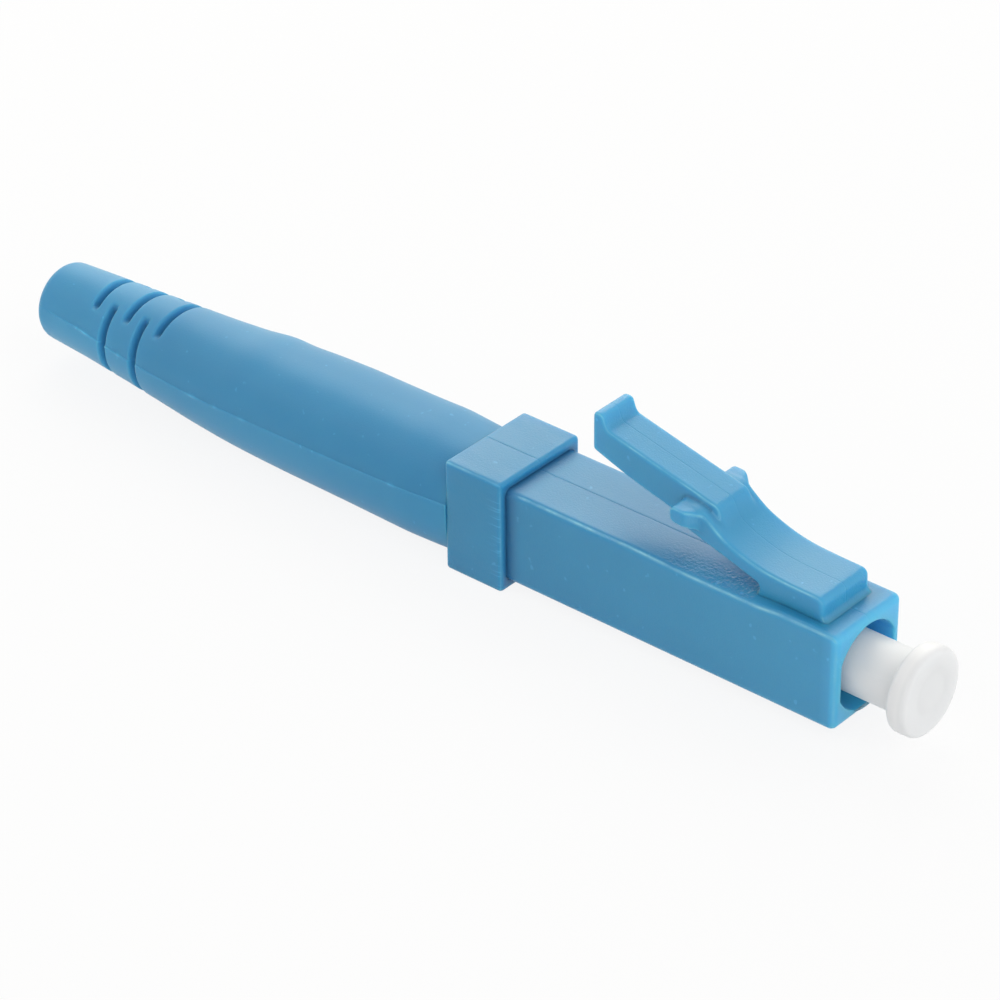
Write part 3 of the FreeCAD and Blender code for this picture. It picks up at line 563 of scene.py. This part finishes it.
def mouth_section(growth):
    """Distance to the mouth's round section with flat sides, made larger by a growth."""
    def distance(across, up):
        return np.maximum(np.hypot(across, up) - MOUTH_RADIUS, np.abs(across) - MOUTH_HALF) - growth
    return distance


def ring(place, section, angles):
    """Points of a section about the ferrule axis, one along each angle, found by halving."""
    across, up = np.cos(angles), np.sin(angles)
    low, high = np.zeros_like(angles), np.full_like(angles, LARGEST_REACH)
    for _ in range(HALVINGS):
        middle = (low + high) / 2
        inside = section(middle * across, middle * up) < 0
        low = np.where(inside, middle, low)
        high = np.where(inside, high, middle)
    return np.stack([np.full_like(angles, place), low * across, low * up + AXIS], axis=-1)


def rounded_end(place, inward, half, radius, corner, steps=6):
    """Sections of a box's rounded end, from its face outwards; inward is the sign of X into the box."""
    sections = []
    for turn in np.linspace(0, math.pi / 2, steps + 1):
        inset = radius * (1 - math.sin(turn))
        shrunk = (half[0] - inset, half[1] - inset)
        shape = box_section(shrunk, max(corner - inset, LEAST_ROUND))
        sections.append((place + inward * radius * (1 - math.cos(turn)), shape))
    return sections


def housing_path():
    """Sections of the housing along its bore, its outside and its mouth, and the outside's first and last."""
    bore = round_section(BORE_RADIUS)
    path = [(WEB_REAR, bore), (REAR + BORE_CHAMFER[0], bore)]
    path.append((REAR, round_section(BORE_RADIUS + BORE_CHAMFER[1])))
    start = len(path)
    path += rounded_end(REAR, 1, COLLAR_HALF, COLLAR_ROUND, COLLAR_ROUND)
    path += rounded_end(COLLAR_FRONT, -1, COLLAR_HALF, COLLAR_ROUND, COLLAR_ROUND)[::-1]
    gap = box_section((BODY_HALF[0] + GAP_WIDTH, BODY_HALF[1] + GAP_WIDTH), BODY_ROUND + GAP_WIDTH)
    body = box_section(BODY_HALF, BODY_ROUND)
    path += [(COLLAR_FRONT, gap), (COLLAR_FRONT - GAP_DEPTH, gap), (COLLAR_FRONT - GAP_DEPTH, body)]
    close = COLLAR_FRONT + CORNER_REACH[0] * np.arange(5) / 4
    path += [(place, body) for place in (*close, *np.linspace(*BODY_RINGS))]
    path += rounded_end(FRONT, -1, BODY_HALF, FRONT_ROUND, BODY_ROUND, FRONT_STEPS)[::-1]
    end = len(path)
    for turn in np.linspace(0, math.pi / 2, MOUTH_RINGS):
        place = FRONT - MOUTH_ROUND * (1 - math.cos(turn))
        path.append((place, mouth_section(MOUTH_ROUND * (1 - math.sin(turn)))))
    web = round_section(WEB_RADIUS)
    path += [(WEB_FRONT, mouth_section(0)), (WEB_FRONT, web), (WEB_REAR, web)]
    return path, start, end


def parting_line(beside):
    """Depth of the mould's fine groove at a distance from the middle."""
    return LINE_DEPTH * np.clip(1 - np.abs(beside) / LINE_HALF, 0, 1)


def housing_mesh():
    """Housing with its parting line and sunk shoulders, and the tone of each point: painted light on its
    walls, front and mouth and under the latch, painted shade in the collar's corner.
    """
    close = [middle + spread for middles, spread in CLOSE_COLUMNS for middle in middles]
    angles = np.radians(np.unique(np.concatenate([EVEN_COLUMNS] + close).round(3)))
    path, start, end = housing_path()
    rings = np.array([ring(place, section, angles) for place, section in path])
    shell = rings[start:end]
    shell[..., 2] -= parting_line(shell[..., 1]) * np.sign(shell[..., 2] - AXIS)
    place, beside = rings[..., 0], np.abs(rings[..., 1])
    under = rise(place, *SINK_REAR) * rise(place, *SINK_FRONT)
    under *= np.clip((rings[..., 2] - MIDDLE) / BODY_HALF[1], 0, 1)
    rings[..., 2] -= SINK_DEPTH * under * np.clip(beside - SINK_START, 0, 1) ** 2
    # Painted light: side walls paler towards the front
    tone = WALL_LIGHT_TONE * np.interp(place, WALL_PLACES, (0, 1)) * rise(beside, *WALL_SIDE)
    # Painted light over the latch's shade on the top under it
    tone = np.maximum(tone, UNDER_LATCH_LIGHT_TONE * rise(under, *SHELTER_SPAN))
    # Painted light: the front and the mouth glow paler, as if lit through thin walls
    tone += (FRONT_GLOW_TONE - tone) * rise(place, *FRONT_PLACES)
    tone[end:] = MOUTH_GLOW_TONE
    # Painted shade in the collar's corner, where the body meets it
    proud = np.maximum(beside - BODY_HALF[0], np.abs(rings[..., 2] - MIDDLE) - BODY_HALF[1])
    away = np.hypot((place - COLLAR_FRONT) / CORNER_REACH[0], np.maximum(proud, 0) / CORNER_REACH[1])
    near = (place > COLLAR_FRONT - GAP_DEPTH - SLACK) & (place < COLLAR_FRONT + CORNER_REACH[0])
    tone = np.where(near, CORNER_SHADE_TONE * soft_step(1 - away), tone)
    return (*skin(rings), tone.ravel())


def smooth_table(places, column):
    """Column of the boot's stations at the given places, rounded where its slope changes."""
    order = np.argsort(BOOT_STATIONS[:, 0])
    offsets = np.linspace(-1.5, 1.5, 13) * BOOT_SOFTNESS
    weights = np.exp(-0.5 * (offsets / BOOT_SOFTNESS) ** 2)
    total = np.zeros_like(places)
    for offset, weight in zip(offsets, weights):
        total += weight * np.interp(places + offset, BOOT_STATIONS[order, 0], BOOT_STATIONS[order, column])
    return total / weights.sum()


def apart(first, second):
    """Angle between two directions in degrees, at most a half turn."""
    return np.abs((first - second + 180) % 360 - 180)


def side_angles():
    """Angles round the boot with close columns at the creases, and how far each follows a crease."""
    creases = (CREASE_ANGLE, 180 - CREASE_ANGLE)
    even = np.arange(0, 360, BOOT_COLUMN_STEP)
    for crease in creases:
        even = even[np.abs(even - crease) > CREASE_CLEAR]
    angles = np.sort(np.concatenate([even] + [crease + CREASE_COLUMNS for crease in creases]))
    follow = [soft_step(1 - apart(angles, crease) / CREASE_SPREAD) for crease in creases]
    return angles, follow[0] - follow[1]


def slot_cut(places, degrees):
    """Share of the full depth that the flex slots reach at each point of the boot."""
    cut = np.zeros_like(degrees)
    for place, middles, half_angle in SLOT_ROWS:
        width = rise(np.abs(places - place), SLOT_HALF + SLOT_SOFT, SLOT_HALF)
        for middle in middles:
            length = rise(apart(degrees, middle), half_angle + SLOT_END / 2, half_angle - SLOT_END / 2)
            cut = np.maximum(cut, width * length)
    return cut


def boot_outside(stations):
    """Outer rings of the boot, rounded square to round, with creases and slots, and each point's tone:
    painted light under the creases, on their lines, flash and tail, painted shade in the slots.
    """
    half_diagonal, shift, square, lift = (smooth_table(stations, column)[:, None] for column in (1, 2, 3, 4))
    places = stations[:, None]
    lean = np.array(BOOT_LEAN) / math.hypot(*BOOT_LEAN)
    dual = square / (square - 1)
    half = half_diagonal / (lean[0] ** dual + lean[1] ** dual) ** (1 / dual)
    angles, follow = side_angles()
    crease = np.degrees(np.arcsin(lift / half))
    degrees = angles[None, :] + (crease - CREASE_ANGLE) * follow[None, :]
    direction = np.radians(degrees)
    across, up = np.abs(np.cos(direction)), np.abs(np.sin(direction))
    reach = half / (across ** square + up ** square) ** (1 / square)
    turned = np.where(np.cos(direction) > 0, degrees, 180 - degrees)
    below = np.radians(crease - (turned + 180) % 360 + 180) * half
    ahead_of_tail = rise(places, BOOT_END, BOOT_END + CREASE_FADE)
    lower = rise(below, -CREASE_WIDTH / 2, CREASE_WIDTH / 2) * ahead_of_tail
    step = np.exp(-np.maximum(below, 0) / CREASE_REACH)
    line = np.exp(-(below / CREASE_LINE) ** 2) * ahead_of_tail
    flash = np.zeros_like(reach)
    for place, length in FLASH:
        ahead = (places - place) / length
        flash = np.maximum(flash, np.exp(-ahead ** 2 - (below / FLASH_HALF) ** 2))
    cut = slot_cut(places, degrees)
    reach = reach + CREASE_STEP * lower * step + FLASH_RISE * flash - SLOT_DEPTH * cut
    # Painted light under the crease, and a painted highlight on its line and on the flash
    tone = CREASE_LIGHT_TONE * lower * rise(below, *CREASE_SHADE) + CREASE_HIGHLIGHT_TONE * line + FLASH_HIGHLIGHT_TONE * flash
    # Painted light on the thin tail
    tone = tone + TAIL_LIGHT_TONE * rise(places, BOOT_END + TAIL_LENGTH, BOOT_END + TAIL_LENGTH / 2)
    # Painted shade in the slots
    tone = tone * (1 - cut) + SLOT_SHADE_TONE * rise(cut, *SLOT_SPAN)
    rings = np.empty((*reach.shape, 3))
    rings[..., 0] = places
    rings[..., 1] = reach * np.cos(direction) + shift * lean[0]
    rings[..., 2] = np.maximum(reach * np.sin(direction) + shift * lean[1] + AXIS + BOOT_LIFT, 0)
    return rings, tone


def boot_mesh():
    """Boot with its rounded tail and the stepped bore, and the tone of each point."""
    slotted = np.arange(*SLOT_RINGS, SLOT_RING_STEP)
    tail = np.linspace(BOOT_END + TAIL_ROUND, SLOT_RINGS[0], TAIL_RINGS, endpoint=False)
    plain = np.linspace(PLAIN_START, BOOT_MOUTH, PLAIN_RINGS)
    outside, tone = boot_outside(np.concatenate([tail, slotted, plain]))
    middle = np.array([0.0, AXIS])
    rim = []
    for turn in np.linspace(math.pi / 2, 0, RIM_RINGS)[1:]:
        inset = TAIL_ROUND * (1 - math.sin(turn))
        edge = outside[0].copy()
        away = edge[:, 1:] - middle
        edge[:, 1:] -= away / np.linalg.norm(away, axis=1, keepdims=True) * inset
        edge[:, 0] = BOOT_END + TAIL_ROUND * (1 - math.cos(turn))
        rim.append(edge)
    (wide_end, wide), (narrow_end, narrow) = BOOT_SOCKET
    bore = [(BOOT_END, CABLE_RADIUS + CABLE_CHAMFER), (BOOT_END + CABLE_CHAMFER, CABLE_RADIUS)]
    bore += [(narrow_end, CABLE_RADIUS), (narrow_end, narrow)]
    bore += [(wide_end, narrow), (wide_end, wide), (BOOT_MOUTH, wide)]
    angles = np.radians(side_angles()[0])
    circles = [ring(place, round_section(radius), angles) for place, radius in bore]
    rings = np.concatenate([outside[::-1], np.array(rim), np.array(circles)])
    plain_tone = np.zeros((len(rings) - len(tone), len(angles)))
    plain_tone[:len(rim)] = tone[0]
    return (*skin(rings), np.concatenate([tone[::-1], plain_tone]).ravel())


def arc(centre, radius, start, end, steps=10):
    """Profile points (place along X, radius) on an arc between two angles in degrees."""
    turns = np.radians(np.linspace(start, end, steps))
    return [(centre[0] + radius * math.cos(turn), centre[1] + radius * math.sin(turn)) for turn in turns]


def cap_profile():
    """Half section of the cap: bore, open stem, thick rounded head and shallow dish."""
    profile = [(CAP_CLOSED, CENTRE), (CAP_CLOSED, CAP_BORE_FLAT)]
    profile += arc((CAP_CLOSED - BORE_END_ROUND, CAP_BORE - BORE_END_ROUND), BORE_END_ROUND, 0, 90, 4)
    profile += [(CAP_OPEN + CAP_CHAMFER[0], CAP_BORE), (CAP_OPEN, CAP_BORE + CAP_CHAMFER[1])]
    profile.append((CAP_OPEN, CAP_STEM - STEM_EDGE))
    profile += arc((CAP_OPEN + STEM_ROUND, CAP_STEM - STEM_ROUND), STEM_ROUND, 180, 90, 5)
    profile += [(place, CAP_STEM) for place in (*STEM_RINGS, CAP_REAR - NECK_ROUND)]
    profile += arc((CAP_REAR - NECK_ROUND, CAP_STEM + NECK_ROUND), NECK_ROUND, 270, 360, 4)
    profile += arc((CAP_REAR + HEAD_REAR_ROUND, CAP_HEAD - HEAD_REAR_ROUND), HEAD_REAR_ROUND, 180, 90, 8)
    profile += arc((CAP_FRONT - HEAD_FRONT_ROUND, CAP_HEAD - HEAD_FRONT_ROUND), HEAD_FRONT_ROUND, 90, 10, 9)
    return profile + [(CAP_FRONT - depth, radius) for depth, radius in CAP_DISH]


def cap_mesh():
    """Dust cap turned about the ferrule axis."""
    profile = cap_profile()
    angles = np.radians(EVEN_COLUMNS)
    rings = np.empty((len(profile), len(angles), 3))
    for index, (place, radius) in enumerate(profile):
        rings[index, :, 0] = place
        rings[index, :, 1] = radius * np.cos(angles)
        rings[index, :, 2] = radius * np.sin(angles) + AXIS
    return (*skin(rings), np.zeros(rings.shape[0] * rings.shape[1]))


def coil_mesh(rear, front):
    """Coil of round wire about the ferrule axis, between two places along X."""
    turns = np.linspace(0, 2 * math.pi * COIL_TURNS, COIL_RINGS * COIL_TURNS + 1)[:, None]
    places = np.linspace(rear + WIRE / 2, front - WIRE / 2, len(turns))[:, None]
    around = np.radians(np.arange(0, 360, COIL_COLUMN_STEP))[None, :]
    thickness = np.full_like(turns, WIRE / 2)
    turns, places = (np.concatenate([table[:1], table, table[-1:]]) for table in (turns, places))
    thickness = np.concatenate([thickness[:1] * COIL_TIP, thickness, thickness[:1] * COIL_TIP])
    reach = COIL_RADIUS + thickness * np.cos(around)
    along = places + thickness * np.sin(around)
    rings = np.stack([along, reach * np.cos(turns), reach * np.sin(turns) + AXIS], axis=-1)
    points, faces = skin(rings)
    return points, faces[:-around.size], np.zeros(len(points))


def outline_distance(x, z, corners):
    """Signed distance to a closed outline of (x, z) corners, less than zero inside."""
    nearest = np.full(np.broadcast(x, z).shape, np.inf)
    inside = np.zeros(nearest.shape, bool)
    for start, end in zip(corners, corners[1:] + corners[:1]):
        run, climb = end[0] - start[0], end[1] - start[1]
        ahead, above = x - start[0], z - start[1]
        share = np.clip((ahead * run + above * climb) / (run * run + climb * climb), 0, 1)
        nearest = np.minimum(nearest, (ahead - share * run) ** 2 + (above - share * climb) ** 2)
        crosses = (start[1] > z) != (end[1] > z)
        if climb != 0:
            inside ^= crosses & (x < start[0] + above * run / climb)
    return np.where(inside, -1, 1) * np.sqrt(nearest)


def rounded_overlap(first, second, radius):
    """Distance to what two shapes share, with its edge rounded."""
    first, second = first + radius, second + radius
    outside = np.hypot(np.maximum(first, 0), np.maximum(second, 0))
    return outside + np.minimum(np.maximum(first, second), 0) - radius


def soft_union(first, second, width):
    """Distance to two shapes joined with a fillet."""
    mix = np.clip(0.5 + 0.5 * (second - first) / width, 0, 1)
    return second + (first - second) * mix - width * mix * (1 - mix)


def softened(corners):
    """Outline with each corner cut twice, by a limited length."""
    points = np.array(corners)
    for limit in (CORNER_CUT, CORNER_CUT / 3):
        ahead = np.roll(points, -1, axis=0) - points
        length = np.linalg.norm(ahead, axis=1, keepdims=True)
        share = np.minimum(LARGEST_CUT, limit / length)
        points = np.stack([points + ahead * share, points + ahead * (1 - share)], axis=1).reshape(-1, 2)
    return [tuple(point) for point in points.tolist()]


SOFT_BAND, SOFT_PLATE, SOFT_EAR = softened(BAND), softened(PLATE), softened(EAR)


def latch_forms(x, y, z):
    """Distances to the latch's band with its root and ears, and to its thumb plate."""
    side = np.abs(y)
    flare = ROOT_FLARE - np.clip(z - TOP, 0, ROOT_FLARE)
    flare = ROOT_FLARE - np.sqrt(np.maximum(ROOT_FLARE ** 2 - flare ** 2, 0))
    flare = flare * rise(x, *FLARE_PLACES)
    band = rounded_overlap(outline_distance(x, z, SOFT_BAND) - flare, side - BAND_HALF, BAND_EDGE)
    plate = rounded_overlap(outline_distance(x, z, SOFT_PLATE), side - PLATE_HALF, PLATE_EDGE)
    reach = EAR_HALF + (BAND_HALF - EAR_HALF - EAR_TUCK) * rise(x, *EAR_TAPER)
    ears = rounded_overlap(outline_distance(x, z, SOFT_EAR), side - reach, EAR_EDGE)
    return soft_union(band, ears, EAR_BLEND), plate


def latch_distance(x, y, z):
    """Distance to the whole latch, with the parting line along its middle."""
    return soft_union(*latch_forms(x, y, z), PLATE_BLEND) + parting_line(y)


def surface_net(distance, axes):
    """Points and four-sided faces of the zero surface of a distance on a grid of three axes."""
    field = distance(*np.meshgrid(*axes, indexing="ij", sparse=True))
    inside = field < 0
    shape = tuple(size - 1 for size in field.shape)
    corners = list(itertools.product((0, 1), repeat=3))

    def part(values, corner):
        return values[tuple(slice(start, start + size) for start, size in zip(corner, shape))]

    filled = sum(part(inside, corner).astype(np.int8) for corner in corners)
    mixed = (filled > 0) & (filled < len(corners))
    cells = np.argwhere(mixed)
    numbers = np.full(shape, -1)
    numbers[mixed] = np.arange(len(cells))
    total = np.zeros((len(cells), 3))
    count = np.zeros(len(cells))
    for axis in range(3):
        for corner in (item for item in corners if item[axis] == 0):
            start = cells + corner
            end = start.copy()
            end[:, axis] += 1
            low, high = field[tuple(start.T)], field[tuple(end.T)]
            crossed = (low < 0) != (high < 0)
            share = np.where(crossed, low / np.where(crossed, low - high, 1), 0)
            points = np.stack([line[number] for line, number in zip(axes, start.T)], axis=-1)
            points[:, axis] += share * (axes[axis][end[:, axis]] - axes[axis][start[:, axis]])
            total += points * crossed[:, None]
            count += crossed
    faces = []
    for axis in range(3):
        u, v = (axis + 1) % 3, (axis + 2) % 3
        ahead, behind = [slice(None)] * 3, [slice(None)] * 3
        ahead[axis], behind[axis] = slice(1, None), slice(None, -1)
        edges = np.argwhere(inside[tuple(ahead)] != inside[tuple(behind)])
        for other in (u, v):
            edges = edges[(edges[:, other] > 0) & (edges[:, other] < shape[other])]
        loop = []
        for step_u, step_v in ((-1, -1), (0, -1), (0, 0), (-1, 0)):
            cell = edges.copy()
            cell[:, u] += step_u
            cell[:, v] += step_v
            loop.append(numbers[tuple(cell.T)])
        loop = np.stack(loop, axis=-1)
        outward = inside[tuple(edges.T)]
        faces.append(np.where(outward[:, None], loop, loop[:, ::-1]))
    return total / count[:, None], np.concatenate(faces)


def settled(points, distance):
    """Points moved onto the zero surface of a distance, along its slope."""
    for _ in range(SETTLE_PASSES):
        value = distance(*points.T)
        slope = np.empty_like(points)
        for axis in range(3):
            nudge = np.zeros(3)
            nudge[axis] = SLOPE_STEP
            slope[:, axis] = distance(*(points + nudge).T) - distance(*(points - nudge).T)
        slope /= 2 * SLOPE_STEP
        steep = np.maximum((slope ** 2).sum(axis=1), LEAST_SLOPE)
        points = points - np.clip(value / steep, -LARGEST_MOVE, LARGEST_MOVE)[:, None] * slope
    return points


def latch_mesh():
    """Latch from its distance on a grid, and the tone of each point: painted light over it and its thumb end,
    painted shade in the valley between band and plate.
    """
    across = np.concatenate([np.arange(*NET_SIDE, NET_STEP), NET_MIDDLE])
    across = np.unique(np.concatenate([across, -across[::-1]]).round(4))
    axes = (np.arange(*NET_LENGTH, NET_STEP), across, np.arange(*NET_HEIGHT, NET_STEP))
    points, faces = surface_net(latch_distance, axes)
    points = settled(points, latch_distance)
    # Painted light over the latch, more at the thumb plate's end
    tone = LATCH_LIGHT_TONE + LATCH_END_LIGHT_TONE * rise(points[:, 0], *LATCH_END_PLACES)
    band, plate = latch_forms(*points.T)
    # Painted shade in the valley between band and plate
    valley = rise(np.maximum(np.abs(band), np.abs(plate)), *VALLEY_SPAN) * (points[:, 0] < VALLEY_FRONT)
    return points, faces, tone + (VALLEY_SHADE_TONE - tone) * valley


def make_camera():
    """Camera that stands where the photograph was taken from."""
    back = Vector((
        math.sin(AZIMUTH) * math.cos(ELEVATION),
        -math.cos(AZIMUTH) * math.cos(ELEVATION),
        math.sin(ELEVATION),
    ))
    right = Vector((math.cos(AZIMUTH), math.sin(AZIMUTH), 0))
    upward = back.cross(right)
    level_right = right * math.cos(ROLL) + upward * math.sin(ROLL)
    level_up = upward * math.cos(ROLL) - right * math.sin(ROLL)
    turn = Matrix((level_right, level_up, back)).transposed().to_4x4()
    lens = bpy.data.cameras.new("camera")
    lens.sensor_width = SENSOR_WIDTH
    lens.lens = FOCAL_LENGTH
    lens.clip_start = NEAREST_SEEN
    camera = bpy.data.objects.new("camera", lens)
    camera.matrix_world = Matrix.Translation(CAMERA_PLACE) @ turn
    bpy.context.collection.objects.link(camera)
    bpy.context.scene.camera = camera


def make_floor():
    """Matt floor, nearly plain white to the camera."""
    mesh = bpy.data.meshes.new("floor")
    half = FLOOR_HALF
    corners = [(-half, -half, 0), (half, -half, 0), (half, half, 0), (-half, half, 0)]
    mesh.from_pydata(corners, [], [(0, 1, 2, 3)])
    floor = bpy.data.objects.new("floor", mesh)
    bpy.context.collection.objects.link(floor)
    finish = Finish("floor_white")
    finish.surface(Base_Color=FLOOR_GREY, Roughness=0.9, Specular_IOR_Level=0.1)
    glow = finish.add("Emission").outputs[0]
    whole = finish.paled(finish.shader.outputs[0], glow, FLOOR_WHITENESS)
    finish.fill(finish.tree.nodes["Material Output"], Surface=whole)
    mesh.materials.append(finish.material)


def make_world(even, ahead, shade):
    """Studio light from all round, stronger ahead of the plug and weaker beside it; white in reflections."""
    world = bpy.data.worlds.new("studio")
    world.use_nodes = True
    bpy.context.scene.world = world
    nodes = Nodes(world.node_tree)
    parts = nodes.parts(nodes.place("Generated"))
    front_level = nodes.scaled(parts["X"], 0.0, 1.0, even, even + ahead)
    side_level = nodes.scaled(parts["Y"], -1.0, 0.0, -shade, 0.0)
    ambient = nodes.tree.nodes["Background"]
    nodes.fill(ambient, Color=WHITE, Strength=nodes.maths("ADD", front_level, side_level))
    white = nodes.add("Background", Color=WHITE)
    whole = nodes.paled(ambient.outputs[0], white.outputs[0], 1.0)
    nodes.fill(nodes.tree.nodes["World Output"], Surface=whole)


def softbox(name, towards, distance, size, radiance, colour):
    """Square area lamp that faces the object from a direction."""
    lamp = bpy.data.lights.new(name, "AREA")
    lamp.size = size
    lamp.energy = radiance * math.pi * size * size
    lamp.color = colour
    holder = bpy.data.objects.new(name, lamp)
    direction = Vector(towards).normalized()
    holder.location = direction * distance + LAMP_TARGET
    holder.rotation_euler = direction.to_track_quat("Z", "Y").to_euler()
    bpy.context.collection.objects.link(holder)


housing_blue = blue_plastic("moulded_blue", HOUSING_BLUES, roughness=0.36, grain=0.6, wear_and_highlight=0.9)
boot_blue = blue_plastic("boot_elastomer", BOOT_BLUES, roughness=0.55, grain=0.35, sheen=0.3)
spring_metal = turned_metal("spring_steel", (0.55, 0.55, 0.56), 0.3)

housing = piece("housing_moulding", *housing_mesh(), housing_blue)
crisp(housing, degrees=50)
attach(housing, "plug")
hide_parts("housing")

latch = piece("latch_moulding", *latch_mesh(), housing_blue)
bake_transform(latch)
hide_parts("latch_lever")

boot = piece("boot_sleeve", *boot_mesh(), boot_blue)
boot.data.set_sharp_from_angle(angle=math.radians(55))
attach(boot, "plug")
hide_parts("strain_relief_boot")

cap = piece("cap_button", *cap_mesh(), cap_plastic())
crisp(cap, degrees=60)
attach(cap, "cap")
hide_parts("dust_cap")

rear_end, front_end = (corner.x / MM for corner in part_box("ferrule_spring"))
spring = piece("spring_coil", *coil_mesh(rear_end, front_end), spring_metal)
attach(spring, "plug")
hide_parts("ferrule_spring")
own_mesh(spring)

inner_looks = {
    "ferrule": fine_ceramic(),
    "ferrule_flange": turned_metal("turned_steel", (0.62, 0.61, 0.59), 0.32),
    "spring_stop": turned_metal("plated_brass", (0.70, 0.66, 0.55), 0.34),
    "crimp_ring": turned_metal("crimp_metal", (0.72, 0.58, 0.33), 0.36),
    "fibre_guide_tube": cap_plastic(),
}
for name, material in inner_looks.items():
    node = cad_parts[name]
    node.data.materials.clear()
    node.data.materials.append(material)

make_camera()
make_floor()
make_world(even=0.42, ahead=1.2, shade=0.07)
softbox("back_panel", (-0.55, 0.64, 0.58), distance=0.40, size=0.34, radiance=2.2, colour=(1.0, 0.97, 0.88))
softbox("edge_strip", (-0.55, -0.54, 0.64), distance=0.45, size=0.16, radiance=2.5, colour=(1.0, 1.0, 1.0))
bpy.context.scene.view_settings.view_transform = "Standard"
